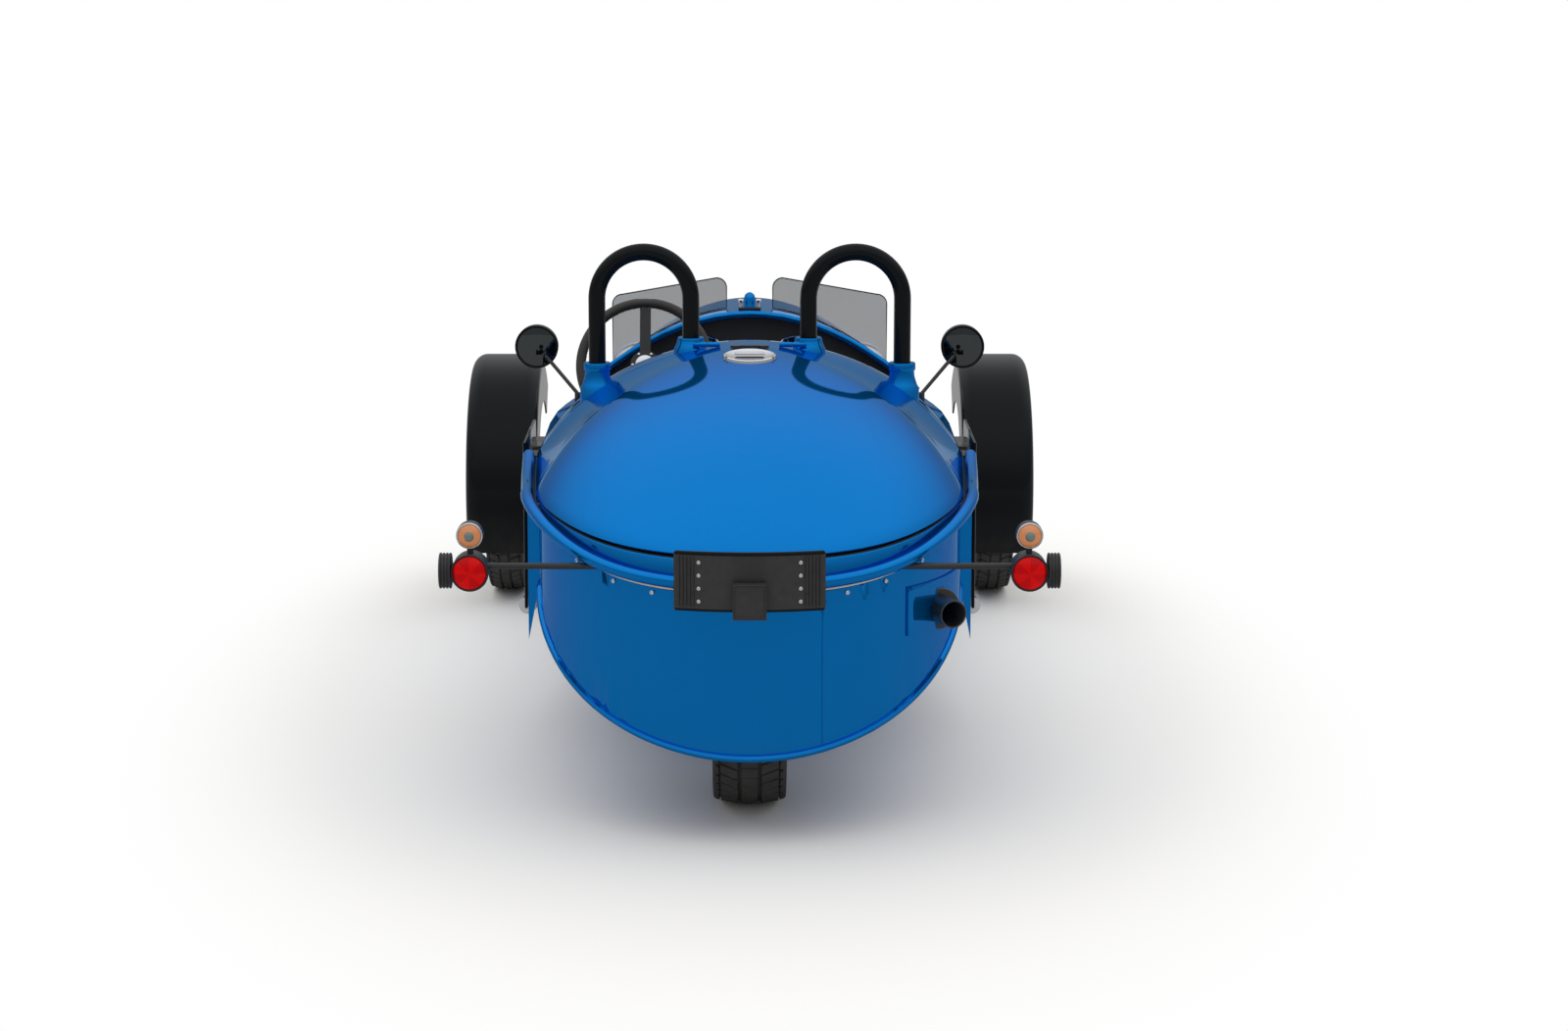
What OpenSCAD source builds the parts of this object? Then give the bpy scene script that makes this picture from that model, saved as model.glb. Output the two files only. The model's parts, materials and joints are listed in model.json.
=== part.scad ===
// Open two-seat three-wheeled roadster: two steered wire wheels in front, one driven wheel in a barrel tail.
// Millimetres. X to the right, Y forward, Z up, ground at Z = 0.

/* [Stance] */
// Distance between the front axle line and the rear axle
wheelbase = 2390; // [2300:10:2500]
// Distance between the middles of the front tyres
track = 1434; // [1400:2:1500]
// Distance from the rear end of the rim to the rear axle
rear_axle_in = 435; // [420:5:450]
// Rear end of the rim behind the middle of the part
tail_back = 1600; // [1590:2:1620]

/* [Barrel tail] */
// Plan radius of the tail wall
tail_r = 476; // [466:2:486]
// Thickness of the tail wall
wall_t = 20; // [14:1:26]
// Height of the hull's underside
hull_bottom = 198; // [190:2:210]
// Height where the round bottom turns into the upright side
bilge_z = 485; // [470:5:500]
// Half-width of the rim bead beyond the tail wall
bead_out = 36; // [30:1:42]
// Radius of the rim bead
bead_r = 15; // [12:1:18]
// Rim height at its front end
rim_z_front = 768; // [755:1:780]
// Drop of the rim from its front end to the tail
rim_drop = 156; // [140:2:170]
// Radius of the rolled bead along the tail wall's lower edge
edge_bead_r = 9; // [6:1:12]

/* [Domed lid] */
// Height of the lid's crown
lid_crown = 986; // [970:1:1000]
// Thickness of the lid with its frame
lid_t = 14; // [8:1:18]
// Gap between the lid and what surrounds it
lid_gap = 6; // [5:0.5:9]
// Roundness of the dome, from nearly flat-sided to a quarter circle
lid_fullness = 0.74; // [0.6:0.01:0.85]

/* [Hull] */
// Half-width of the hull at the cockpit
hull_half_w = 500; // [490:2:510]
// Thickness of the hull sides and floor
hull_t = 24; // [18:1:30]
// Half-width of the hull at its front end
hull_front_half_w = 330; // [310:5:345]
// Front end of the hull, from the middle of the part
hull_front = 960; // [940:5:975]
// Height of the hull side at its front end
side_front_z = 690; // [670:5:710]
// Fore and aft place of the roll hoops
hoop_y = -700; // [-720:5:-680]
// Rear edge of the scuttle
scuttle_back = 180; // [150:5:210]
// Height of the scuttle's crown
scuttle_crown = 941; // [925:1:955]
// Front edge of the scuttle
scuttle_front = 520; // [490:5:560]
// Front end of the nose cowl
nose_front = 985; // [960:5:1000]
// Height of the nose cowl's front edge
nose_crown = 800; // [780:5:820]
// Thickness of cowl and scuttle
cowl_t = 14; // [8:1:18]

/* [Hoops, screens and mirrors] */
// Radius of the roll hoop tube
hoop_tube_r = 20; // [17:0.5:24]
// Bend radius of a roll hoop
hoop_bend_r = 111; // [105:1:120]
// Distance of a roll hoop's middle from the centreline
hoop_x = 250; // [240:1:260]
// Height of a roll hoop's top above the lid's crown
hoop_rise = 236; // [210:2:260]
// Radius of a mirror head
mirror_r = 56; // [45:1:62]
// Thickness of a fly screen
screen_t = 6; // [4:0.5:8]

/* [Wheels] */
// Radius of a front tyre
front_tyre_r = 330; // [320:2:335]
// Width of a front tyre
front_tyre_w = 106; // [96:2:114]
// Height of a front tyre's wall above the wheel's rim
front_wall = 84; // [78:1:92]
// Radius of the rear tyre
rear_tyre_r = 306; // [300:2:310]
// Width of the rear tyre
rear_tyre_w = 164; // [150:2:172]
// Height of the rear tyre's wall above the wheel's rim
rear_wall = 101; // [92:1:110]
// Spokes in each row of a wire wheel
spoke_count = 18; // [12:1:24]
// Radius of a wire spoke
spoke_r = 2.5; // [2:0.25:4]
// Height of a front wing's sheet above its tyre
wing_over = 42; // [36:1:50]
// Width of a front wing
wing_w = 206; // [190:2:212]
// Thickness of a front wing's sheet
wing_t = 5; // [3:0.5:7]
// Depth of a wing's inner valance
wing_valance = 140; // [100:5:150]

/* [Front suspension] */
// Distance of a steering axis inboard of its tyre's middle
kingpin_in = 91; // [86:1:94]
// Height of the lower wishbones
lower_arm_z = 225; // [215:1:235]
// Height of the upper wishbones
upper_arm_z = 440; // [430:1:450]
// Radius of the frame tubes
frame_tube_r = 16; // [12:1:18]
// Half the distance between the frame rails
rail_x = 172; // [170:1:180]
// Length of a steering arm
steer_arm = 110; // [100:2:120]
// Radius of a front stub axle
stub_r = 15; // [12:1:18]
// Running clearance of an axle in its bore
run_gap = 0.06; // [0.02:0.01:0.1]

/* [Engine] */
// Radius of the crankcase
case_r = 140; // [125:1:146]
// Length of the crankcase
case_l = 270; // [240:5:290]
// Height of the crankshaft
crank_z = 330; // [320:2:345]
// Fore and aft place of the engine's middle
engine_y = 1435; // [1410:5:1450]
// Lean of each cylinder from upright
vee_half = 28; // [25:1:30]
// Radius of the cylinder fins
fin_r = 72; // [60:1:76]
// Fins on each cylinder
fin_count = 9; // [6:1:12]

/* [Lamps and tail fittings] */
// Distance of the tail lamps from the centreline
lamp_x = 604; // [580:2:620]
// Height of the tail lamps
lamp_z = 586; // [570:2:600]
// Radius of a red tail lens
red_r = 36; // [30:1:40]
// Radius of an amber marker
amber_r = 25; // [20:1:30]
// Radius of a lamp arm's rod
arm_r = 7; // [5:0.5:9]
// Width of the plate holder along its curve
plate_w = 322; // [300:2:340]
// Height of the plate holder's top
plate_top = 658; // [650:1:664]
// Height of the plate holder's lower edge
plate_low = 534; // [520:2:545]
// Radius of the tailpipe
pipe_r = 43; // [36:1:48]
// Distance of the tailpipe inboard of the tail wall's side
pipe_in = 52; // [46:2:64]
// Height of the tailpipe
pipe_z = 490; // [480:2:500]
// Radius of a headlamp
headlamp_r = 86; // [75:1:95]

/* [Hidden] */
$fn = 48;

// Clearance between pieces that only lie against each other
seat_gap = 0.3;
// Most that a facet of the hull's inside stands in from its true curve
facet_sag = 2.2;
eps = 1;
far = 2000;

tail_y = -tail_back;
rear_axle_y = tail_y + rear_axle_in;
front_axle_y = rear_axle_y + wheelbase;
wheel_x = track / 2;
kingpin_x = wheel_x - kingpin_in;
rim_out_r = tail_r + bead_out;
tail_cy = tail_y + rim_out_r;
band_h = 12;
bilge_h = bilge_z - hull_bottom;
hoop_top = lid_crown + hoop_rise;
front_rim_r = front_tyre_r - front_wall;
rear_rim_r = rear_tyre_r - rear_wall;
wing_r = front_tyre_r + wing_over;
pipe_x = tail_r - pipe_in;
deck_behind = 40;
deck_ahead = 60;
deck_back = hoop_y - deck_behind;
deck_front = hoop_y + deck_ahead;
lid_front = deck_back - lid_gap;

// Half-width of the hull at a fore and aft place
widest_y = -450;
taper_power = 1.4;
function half_w(y) =
    y <= tail_cy ? tail_r
    : y <= widest_y ? hull_half_w - (hull_half_w - tail_r) * pow((y - widest_y) / (tail_cy - widest_y), 2)
    : hull_half_w - (hull_half_w - hull_front_half_w) * pow((y - widest_y) / (hull_front - widest_y), taper_power);

// Height of the rim's line and of the hull side's top edge
function rim_z(y) = rim_z_front - rim_drop * pow(max(0, hoop_y - y) / (hoop_y - tail_y), 2);
function side_top(y) =
    y <= hoop_y ? rim_z(y) - band_h
    : rim_z_front - band_h
        - (rim_z_front - band_h - side_front_z) * pow((y - hoop_y) / (hull_front - hoop_y), 2);

// Rise of a round arch at a share t of its half-width, from 0 at its crown to 1 at its foot
function arch_fall(t, full) = (1 - sqrt(1 - pow(full * t, 2))) / (1 - sqrt(1 - full * full));

// Height of the lid's and hoop deck's top surface
// The lid hangs a little below the band that it lies inside
lid_nest = 4;
lid_lift = lid_t - lid_nest;
lid_r = tail_r - wall_t - lid_gap;
function lid_foot(y) = rim_z(y) + lid_lift;
function lid_half(y) = half_w(y) - wall_t - lid_gap;
function lid_z(x, y) =
    let (d = norm([x, y - tail_cy]),
         t = min(1, y >= tail_cy ? abs(x) / lid_half(y) : d / lid_r),
         foot_y = y >= tail_cy || t == 0 ? y : tail_cy + (y - tail_cy) / t)
    lid_crown - (lid_crown - lid_foot(foot_y)) * arch_fall(t, lid_fullness);

// Height of the scuttle's and nose cowl's top surface
nose_power = 1.5;
nose_taper = 0.35;
function crown_z(y) =
    y <= scuttle_front ? scuttle_crown
    : scuttle_crown
        - (scuttle_crown - nose_crown) * pow((y - scuttle_front) / (nose_front - scuttle_front), nose_power);
function cowl_half(y) = half_w(min(y, hull_front)) - max(0, y - hull_front) * nose_taper;
function cowl_z(x, y) =
    let (t = min(1, abs(x) / cowl_half(y)))
    crown_z(y) - (crown_z(y) - side_top(min(y, hull_front)) - seat_gap) * t * t;

function quad(a, b, c, d) = [[a, b, c], [a, c, d]];
function flat(lists) = [for (l = lists) for (e = l) e];
function volume6(p, tris) = [for (t = tris) cross(p[t[0]], p[t[1]]) * p[t[2]]] * [for (t = tris) 1];
function outward(p, tris) = volume6(p, tris) > 0 ? [for (t = tris) [t[0], t[2], t[1]]] : tris;

// Closed thick panel between two surfaces, each a function of u and v from 0 to 1
module panel(outer, inner, nu, nv) {
    half = (nu + 1) * (nv + 1);
    at = function(side, i, j) side * half + i * (nv + 1) + j;
    points = [for (f = [outer, inner]) for (i = [0:nu]) for (j = [0:nv]) f(i / nu, j / nv)];
    cells = [for (i = [0:nu - 1]) for (j = [0:nv - 1]) [i, j]];
    skins = flat([for (c = cells) let (i = c[0], j = c[1]) concat(
        quad(at(0, i, j), at(0, i + 1, j), at(0, i + 1, j + 1), at(0, i, j + 1)),
        quad(at(1, i, j), at(1, i, j + 1), at(1, i + 1, j + 1), at(1, i + 1, j)))]);
    long_edges = flat([for (i = [0:nu - 1]) concat(
        quad(at(0, i + 1, 0), at(0, i, 0), at(1, i, 0), at(1, i + 1, 0)),
        quad(at(0, i, nv), at(0, i + 1, nv), at(1, i + 1, nv), at(1, i, nv)))]);
    end_edges = flat([for (j = [0:nv - 1]) concat(
        quad(at(0, 0, j), at(0, 0, j + 1), at(1, 0, j + 1), at(1, 0, j)),
        quad(at(0, nu, j + 1), at(0, nu, j), at(1, nu, j), at(1, nu, j + 1)))]);
    polyhedron(points, outward(points, concat(skins, long_edges, end_edges)));
}

// Closed thick dome from rings that shrink from a plan outline to one apex
module dome(outline, apex, height, thick, rings) {
    n = len(outline);
    ring = function(side, k) [for (p = outline)
        let (q = apex + (p - apex) * k / rings) [q[0], q[1], height(q[0], q[1]) - side * thick]];
    points = concat(
        flat([for (side = [0, 1]) for (k = [1:rings]) ring(side, k)]),
        [for (side = [0, 1]) [apex[0], apex[1], height(apex[0], apex[1]) - side * thick]]);
    at = function(side, k, i) (side * rings + k - 1) * n + i % n;
    top = 2 * rings * n;
    skins = flat([for (k = [1:rings - 1]) for (i = [0:n - 1]) concat(
        quad(at(0, k, i), at(0, k + 1, i), at(0, k + 1, i + 1), at(0, k, i + 1)),
        quad(at(1, k, i), at(1, k, i + 1), at(1, k + 1, i + 1), at(1, k + 1, i)))]);
    caps = flat([for (i = [0:n - 1]) [
        [top, at(0, 1, i), at(0, 1, i + 1)],
        [top + 1, at(1, 1, i + 1), at(1, 1, i)]]]);
    rim = flat([for (i = [0:n - 1])
        quad(at(0, rings, i), at(1, rings, i), at(1, rings, i + 1), at(0, rings, i + 1))]);
    polyhedron(points, outward(points, concat(skins, caps, rim)));
}

// Closed sweep of a star-shaped outline, given in its own plane, along a list of [place, side, up] frames
module sweep(frames, outline) {
    n = len(outline);
    m = len(frames);
    points = concat(
        flat([for (f = frames) [for (p = outline) f[0] + f[1] * p[0] + f[2] * p[1]]]),
        [frames[0][0], frames[m - 1][0]]);
    at = function(k, i) k * n + i % n;
    walls = flat([for (k = [0:m - 2]) for (i = [0:n - 1])
        quad(at(k, i), at(k + 1, i), at(k + 1, i + 1), at(k, i + 1))]);
    ends = flat([for (i = [0:n - 1]) [
        [m * n, at(0, i), at(0, i + 1)],
        [m * n + 1, at(m - 1, i + 1), at(m - 1, i)]]]);
    polyhedron(points, outward(points, concat(walls, ends)));
}

module mirrored() {
    children();
    mirror([1, 0, 0]) children();
}

// Cylinder between two points
module rod(a, b, r) {
    d = b - a;
    l = norm(d);
    translate(a)
        rotate([0, acos(d[2] / l), atan2(d[1], d[0])])
            cylinder(r = r, h = l);
}

// Cylinder along X
module along_x(r, l) {
    rotate([0, 90, 0]) cylinder(r = r, h = l, center = true);
}

// Cylinder along Y
module along_y(r, l) {
    rotate([90, 0, 0]) cylinder(r = r, h = l, center = true);
}

// Profile in radius and height turned about the X axis
module turned_x(a0 = 0, a = 360) {
    rotate([0, 90, 0])
        rotate([0, 0, a0])
            rotate_extrude(angle = a, $fn = 96) children();
}

// Hull: sides and floor share one U section that stops at the tail wall's inner face
floor_angle = 40;
hull_rows = 14;
wall_cols = 36;
wall_in_r = (tail_r - wall_t) * cos(90 / wall_cols) - seat_gap;
// Bend from straight down at which the hull side leaves the tail wall's inner face
turn_angle = asin(wall_in_r / tail_r);
function hull_rear(angle) = tail_cy - sqrt(max(0, pow(wall_in_r, 2) - pow(tail_r * sin(angle), 2)));
function hull_point(y, angle, inset) =
    [(half_w(y) - inset) * sin(angle), y, bilge_z - (bilge_h - inset) * cos(angle)];
// Rows up the hull side: to where it leaves the tail wall, to the upright, and to its top edge
turn_rows = 4;
side_bends = 6;
side_rows = 9;

module hull_side(right) {
    s = right ? 1 : -1;
    place = function(u, v, inset)
        let (row = v * side_rows,
             rise = max(0, (row - side_bends) / (side_rows - side_bends)),
             angle = row <= turn_rows ? floor_angle + (turn_angle - floor_angle) * row / turn_rows
                 : turn_angle + (90 - turn_angle) * min(1, (row - turn_rows) / (side_bends - turn_rows)),
             back = hull_rear(angle) + seat_gap,
             y = back + (hull_front - back) * u,
             p = hull_point(y, angle, inset))
        [s * p[0], y, p[2] + (side_top(y) - p[2]) * rise];
    panel(function(u, v) place(u, v, 0), function(u, v) place(u, v, hull_t), hull_rows, side_rows);
}

module hull_side_left() {
    color("royalblue") hull_side(false);
}

module hull_side_right() {
    color("royalblue") hull_side(true);
}

slot_gap = 16;
slot_half_w = rear_tyre_w / 2 + slot_gap;
slot_reach = 300;
floor_cols = 10;
floor_clear = 0.05;
module hull_floor() {
    place = function(u, v, inset)
        let (angle = (2 * v - 1) * (floor_angle - floor_clear),
             back = hull_rear(angle) + seat_gap,
             y = back + (hull_front - back) * u)
        hull_point(y, angle, inset);
    color("royalblue")
        difference() {
            panel(function(u, v) place(u, v, 0), function(u, v) place(u, v, hull_t), hull_rows, floor_cols);
            translate([-slot_half_w, rear_axle_y - slot_reach, 0])
                cube([2 * slot_half_w, 2 * slot_reach, bilge_z]);
        }
}

// Tail wall: upright half round whose lower edge meets the round bottom in a rolled bead
wall_rows = 6;
function wall_point(angle, r, z) = [r * cos(angle), tail_cy - r * sin(angle), z];
function wall_low(angle) = bilge_z - bilge_h * sin(angle);
bead_sides = 8;
module tail_wall() {
    place = function(u, v, inset)
        let (angle = 180 * u,
             low = wall_low(angle),
             high = side_top(tail_cy - tail_r * sin(angle)))
        wall_point(angle, tail_r - inset, low + (high - low) * v);
    bead_frames = [for (k = [0:wall_cols]) let (a = 180 * k / wall_cols)
        [wall_point(a, tail_r, wall_low(a)), [cos(a), -sin(a), 0], [0, 0, 1]]];
    bead_ring = [for (i = [0:bead_sides - 1]) let (a = 360 * i / bead_sides) edge_bead_r * [cos(a), sin(a)]];
    color("royalblue") {
        union() {
            panel(function(u, v) place(u, v, 0), function(u, v) place(u, v, wall_t), wall_cols, wall_rows);
            sweep(bead_frames, bead_ring);
        }
    }
}

// Rim: half-round bead, groove and flat band round the top of the tail
rim_straight = 6;
bead_steps = 9;
groove = 3;
module tail_rim() {
    side_back = deck_back - seat_gap;
    straight = [for (k = [0:rim_straight - 1]) side_back + (tail_cy - side_back) * k / rim_straight];
    frames = concat(
        [for (y = straight) [[half_w(y), y, rim_z(y)], [1, 0, 0], [0, 0, 1]]],
        [for (k = [0:wall_cols]) let (a = 180 * k / wall_cols, p = wall_point(a, tail_r, 0))
            [[p[0], p[1], rim_z(p[1])], [cos(a), -sin(a), 0], [0, 0, 1]]],
        [for (k = [rim_straight - 1:-1:0]) let (y = straight[k])
            [[-half_w(y), y, rim_z(y)], [-1, 0, 0], [0, 0, 1]]]);
    bead_x = bead_out - bead_r;
    outline = concat(
        [[-wall_t, -band_h + seat_gap], [eps, -band_h + seat_gap], [bead_x, -bead_r]],
        [for (i = [1:bead_steps]) let (a = -90 + 180 * i / (bead_steps + 1))
            [bead_x, 0] + bead_r * [cos(a), sin(a)]],
        [[bead_x, bead_r], [bead_x - bead_r + groove, bead_r - 2 * groove], [0, 0], [-wall_t, 0]]);
    color("dodgerblue") sweep(frames, outline);
}

// Lid: dome over the half-round tail that runs forward into a vault
lid_arc = 32;
lid_side = 5;
lid_front_cols = 12;
lid_rings = 12;
module tail_lid() {
    front_half = lid_half(lid_front);
    arc = [for (k = [0:lid_arc]) let (a = 180 * k / lid_arc) [lid_r * cos(a), tail_cy - lid_r * sin(a)]];
    left = [for (k = [1:lid_side]) let (y = tail_cy + (lid_front - tail_cy) * k / lid_side) [-lid_half(y), y]];
    front = [for (k = [1:lid_front_cols - 1]) [-front_half + 2 * front_half * k / lid_front_cols, lid_front]];
    right = [for (k = [lid_side:-1:1]) let (y = tail_cy + (lid_front - tail_cy) * k / lid_side) [lid_half(y), y]];
    color("royalblue")
        union() {
            dome(concat(arc, left, front, right), [0, tail_cy], function(x, y) lid_z(x, y), lid_t, lid_rings);
            hinge_barrels(hinge_x, -1);
        }
}

// Hinge line across the lid's front edge, and its barrels on lid and deck
hinge_y = deck_back - lid_gap / 2;
hinge_up = 2;
hinge_z = lid_crown + hinge_up;
hinge_r = 6;
barrel_w = 30;
hinge_x = 70;
lug_l = 14;
lug_low = 18;
module hinge_barrels(x0, side) {
    mirrored() {
        translate([x0 + barrel_w / 2, hinge_y, hinge_z]) along_x(hinge_r, barrel_w);
        translate([x0, hinge_y + (side < 0 ? -lug_l : 0), hinge_z - lug_low]) cube([barrel_w, lug_l, lug_low]);
    }
}

handle_back = 50;
handle_l = 64;
handle_w = 26;
handle_h = 7;
handle_y = lid_front - handle_back;
module lid_handle() {
    color("silver")
        translate([0, handle_y, lid_crown + seat_gap]) {
            linear_extrude(handle_h) square([handle_l, handle_w / 2], center = true);
            for (s = [-1, 1])
                translate([s * handle_l / 2, 0, 0]) cylinder(d = handle_w, h = handle_h);
        }
}

// Deck strip behind the seats with four sleeves that hold the roll hoops
deck_t = lid_lift + band_h - seat_gap;
deck_cols = 24;
sleeve_wall = 9;
sleeve_r = hoop_tube_r + sleeve_wall;
outer_sleeve_top = lid_crown - 46;
inner_sleeve_top = lid_crown + 12;
deck_rows = 4;
leg_in = hoop_x - hoop_bend_r;
leg_out = hoop_x + hoop_bend_r;
function leg_foot(x) = lid_z(x, hoop_y) - deck_t;
module hoop_deck() {
    place = function(u, v, drop)
        let (y = deck_back + (deck_front - deck_back) * u,
             x = (2 * v - 1) * half_w(y))
        [x, y, lid_z(x, y) - drop];
    // Columns: place across, height of the sleeve's top
    sleeves = [[leg_in, inner_sleeve_top], [leg_out, outer_sleeve_top]];
    color("royalblue")
        difference() {
            union() {
                panel(function(u, v) place(u, v, 0), function(u, v) place(u, v, deck_t), deck_rows, deck_cols);
                hinge_barrels(hinge_x + barrel_w + seat_gap, 1);
                mirrored()
                    for (s = sleeves)
                        translate([s[0], hoop_y, leg_foot(s[0]) - deck_t])
                            cylinder(r = sleeve_r, h = s[1] - leg_foot(s[0]) + deck_t);
            }
            mirrored()
                for (s = sleeves)
                    translate([s[0], hoop_y, leg_foot(s[0])])
                        cylinder(r = hoop_tube_r + seat_gap, h = far);
        }
}

module roll_hoops() {
    bend_z = hoop_top - hoop_tube_r - hoop_bend_r;
    color("black")
        mirrored()
            translate([hoop_x, hoop_y, 0]) {
                translate([0, 0, bend_z])
                    rotate([90, 0, 0])
                        rotate_extrude(angle = 180) translate([hoop_bend_r, 0]) circle(r = hoop_tube_r);
                for (s = [-1, 1])
                    translate([s * hoop_bend_r, 0, leg_foot(hoop_x + s * hoop_bend_r)])
                        cylinder(r = hoop_tube_r, h = bend_z - leg_foot(hoop_x + s * hoop_bend_r));
            }
}

// Bulkheads: plates cut to the inside of the hull
bulkhead_t = 18;
section_steps = 16;
function inner_section(y, high) = concat(
    [for (k = [0:section_steps]) let (a = -90 + 180 * k / section_steps, p = hull_point(y, a, hull_t + facet_sag))
        [p[0], p[2]]],
    [for (k = [0:section_steps]) let (x = (half_w(y) - hull_t - facet_sag) * (1 - 2 * k / section_steps))
        [x, high(x)]]);

module plate_across(y, t, outline) {
    translate([0, y + t, 0]) rotate([90, 0, 0]) linear_extrude(t) polygon(outline);
}

rear_bulkhead_in = 30;
rear_bulkhead_y = deck_front - rear_bulkhead_in;
module rear_bulkhead() {
    y = rear_bulkhead_y;
    color("dimgray")
        plate_across(y, bulkhead_t,
            inner_section(y, function(x) min(lid_z(x, y), lid_z(x, y + bulkhead_t)) - deck_t - eps));
}

front_bulkhead_y = hull_front - bulkhead_t;
module front_bulkhead() {
    y = front_bulkhead_y + bulkhead_t;
    color("dimgray")
        plate_across(front_bulkhead_y, bulkhead_t,
            inner_section(y, function(x) cowl_z(x, y) - seat_gap - eps));
}

// Scuttle and nose cowl: one arched skin in two panels
cowl_cols = 20;
scuttle_rows = 4;
cowl_rows = 8;
module arched_skin(y0, y1, rows) {
    place = function(u, v, drop)
        let (y = y0 + (y1 - y0) * u,
             x = (2 * v - 1) * cowl_half(y))
        [x, y, cowl_z(x, y) - drop];
    panel(function(u, v) place(u, v, 0), function(u, v) place(u, v, cowl_t), rows, cowl_cols);
}

module scuttle() {
    color("royalblue") translate([0, 0, cowl_t]) arched_skin(scuttle_back, scuttle_front - seat_gap, scuttle_rows);
}

module nose_cowl() {
    color("royalblue") translate([0, 0, cowl_t]) arched_skin(scuttle_front, nose_front, cowl_rows);
}

dash_in = 40;
dash_y = scuttle_back + dash_in;
dash_low = 640;
dash_t = 16;
dial_r = 48;
dial_x = 120;
dial_z = 840;
module dash_panel() {
    y = dash_y;
    inner_half = half_w(y + dash_t) - hull_t - 2 * seat_gap;
    outline = concat(
        [[-inner_half, dash_low], [inner_half, dash_low]],
        [for (k = [0:section_steps]) let (x = inner_half * (1 - 2 * k / section_steps))
            [x, cowl_z(x, y + dash_t) - eps]]);
    color("black")
        difference() {
            plate_across(y, dash_t, outline);
            for (s = [-1, 1])
                translate([s * dial_x, y, dial_z]) along_y(dial_r, dash_t / 2);
            translate([wheel_at[0], y + dash_t / 2, column_z(y + dash_t / 2)])
                rotate([-column_tilt, 0, 0]) along_y(column_r + seat_gap, column_l);
        }
}

// Cover over the rear wheel inside the boot, open below
tunnel_gap = 26;
tunnel_t = 4;
tunnel_half_w = slot_half_w + tunnel_t;
function floor_top(x) = bilge_z - (bilge_h - hull_t) * sqrt(1 - pow(x / (tail_r - hull_t), 2));
module wheel_tunnel() {
    r = rear_tyre_r + tunnel_gap;
    low = floor_top(tunnel_half_w) + facet_sag / 2;
    color("black")
        translate([0, rear_axle_y, rear_tyre_r])
            difference() {
                along_x(r + tunnel_t, 2 * tunnel_half_w);
                along_x(r, 2 * slot_half_w);
                translate([0, 0, low - rear_tyre_r - far / 2]) cube(far, center = true);
            }
}

// Upright louvre blades on the hull sides, each with a pointed foot
blade_t = 10;
blade_low = 350;
blade_high = 680;
blade_slope = 30;
blade_out = 27;
// Fore and aft places of the blades
blade_places = [-1060, -980, -900];
module side_louvres() {
    color("mediumblue")
        mirrored()
            for (y = blade_places) {
                root = half_w(y + blade_t / 2) + seat_gap;
                tip = root + blade_out;
                low = max(blade_low, bilge_z + eps);
                translate([0, y + blade_t / 2, 0])
                    rotate([90, 0, 0])
                        linear_extrude(blade_t)
                            polygon([[root, low], [tip, blade_low],
                                [tip, blade_high - blade_slope], [root, blade_high]]);
            }
}

// Bent shield panels that stand off the hull beside the seats
shield_back = -640;
shield_front = -340;
shield_out = 586;
shield_t = 14;
shield_low = 228;
shield_knee = 668;
shield_top = 738;
module side_shields() {
    root = hull_half_w + seat_gap;
    color("black")
        mirrored()
            translate([0, shield_front, 0])
                rotate([90, 0, 0])
                    linear_extrude(shield_front - shield_back)
                        polygon([[shield_out, shield_low], [shield_out, shield_knee], [root, shield_top],
                            [root, shield_top - 2 * shield_t], [shield_out - shield_t, shield_knee - shield_t],
                            [shield_out - shield_t, shield_low + shield_t]]);
}

// Fly screens on the scuttle
screen_y = 300;
screen_in = 62;
screen_out = 366;
screen_top_in = 1032;
screen_top_out = 988;
screen_corner = 26;
screen_steps = 8;
module fly_screens() {
    foot = function(x) cowl_z(x, screen_y) + cowl_t + 2 * eps;
    inner = [screen_in + screen_corner, screen_top_in - screen_corner];
    outer = [screen_out - screen_corner, screen_top_out - screen_corner];
    corner = function(mid, a0) [for (k = [0:screen_steps]) let (a = a0 + 90 * k / screen_steps)
        mid + screen_corner * [cos(a), sin(a)]];
    color([0.35, 0.36, 0.38, 0.5])
        mirrored()
            translate([0, screen_y, 0])
                rotate([90, 0, 0])
                    linear_extrude(screen_t)
                        polygon(concat(
                            [for (k = [0:screen_steps])
                                let (x = screen_in + (screen_out - screen_in) * k / screen_steps) [x, foot(x)]],
                            corner(outer, 0), corner(inner, 90)));
}

// Mirrors on stalks from the hull sides' top edges
mirror_at = [560, 150, 868];
mirror_depth = 30;
stalk_r = 5;
mirror_foot_y = 60;
module mirrors() {
    foot = [half_w(mirror_foot_y) - hull_t / 2, mirror_foot_y, side_top(mirror_foot_y) + seat_gap];
    color("black")
        mirrored() {
            translate(mirror_at) along_y(mirror_r, mirror_depth);
            translate(foot) cylinder(r = 2 * stalk_r, h = 3 * stalk_r);
            rod(foot + [0, 0, 2 * stalk_r], mirror_at + [0, mirror_depth / 4, 0], stalk_r);
        }
}

// Seats: cushions shaped to the hull's floor, backs that lean on them
cushion_top = 400;
cushion_back = -590;
cushion_front = -110;
seat_in = 14;
seat_out = 400;
seat_round = 30;
seat_steps = 8;
module seat_cushions() {
    inner_half = half_w(cushion_front) - hull_t;
    foot = function(x) bilge_z - (bilge_h - hull_t - facet_sag) * sqrt(1 - pow(x / inner_half, 2));
    color("#202020")
        mirrored()
            translate([0, cushion_front, 0])
                rotate([90, 0, 0])
                    linear_extrude(cushion_front - cushion_back)
                        polygon(concat(
                            [for (k = [0:seat_steps])
                                let (x = seat_in + (seat_out - seat_in) * k / seat_steps) [x, foot(x)]],
                            [[seat_out, cushion_top - seat_round], [seat_out - seat_round, cushion_top],
                                [seat_in + seat_round, cushion_top], [seat_in, cushion_top - seat_round]]));
}

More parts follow.
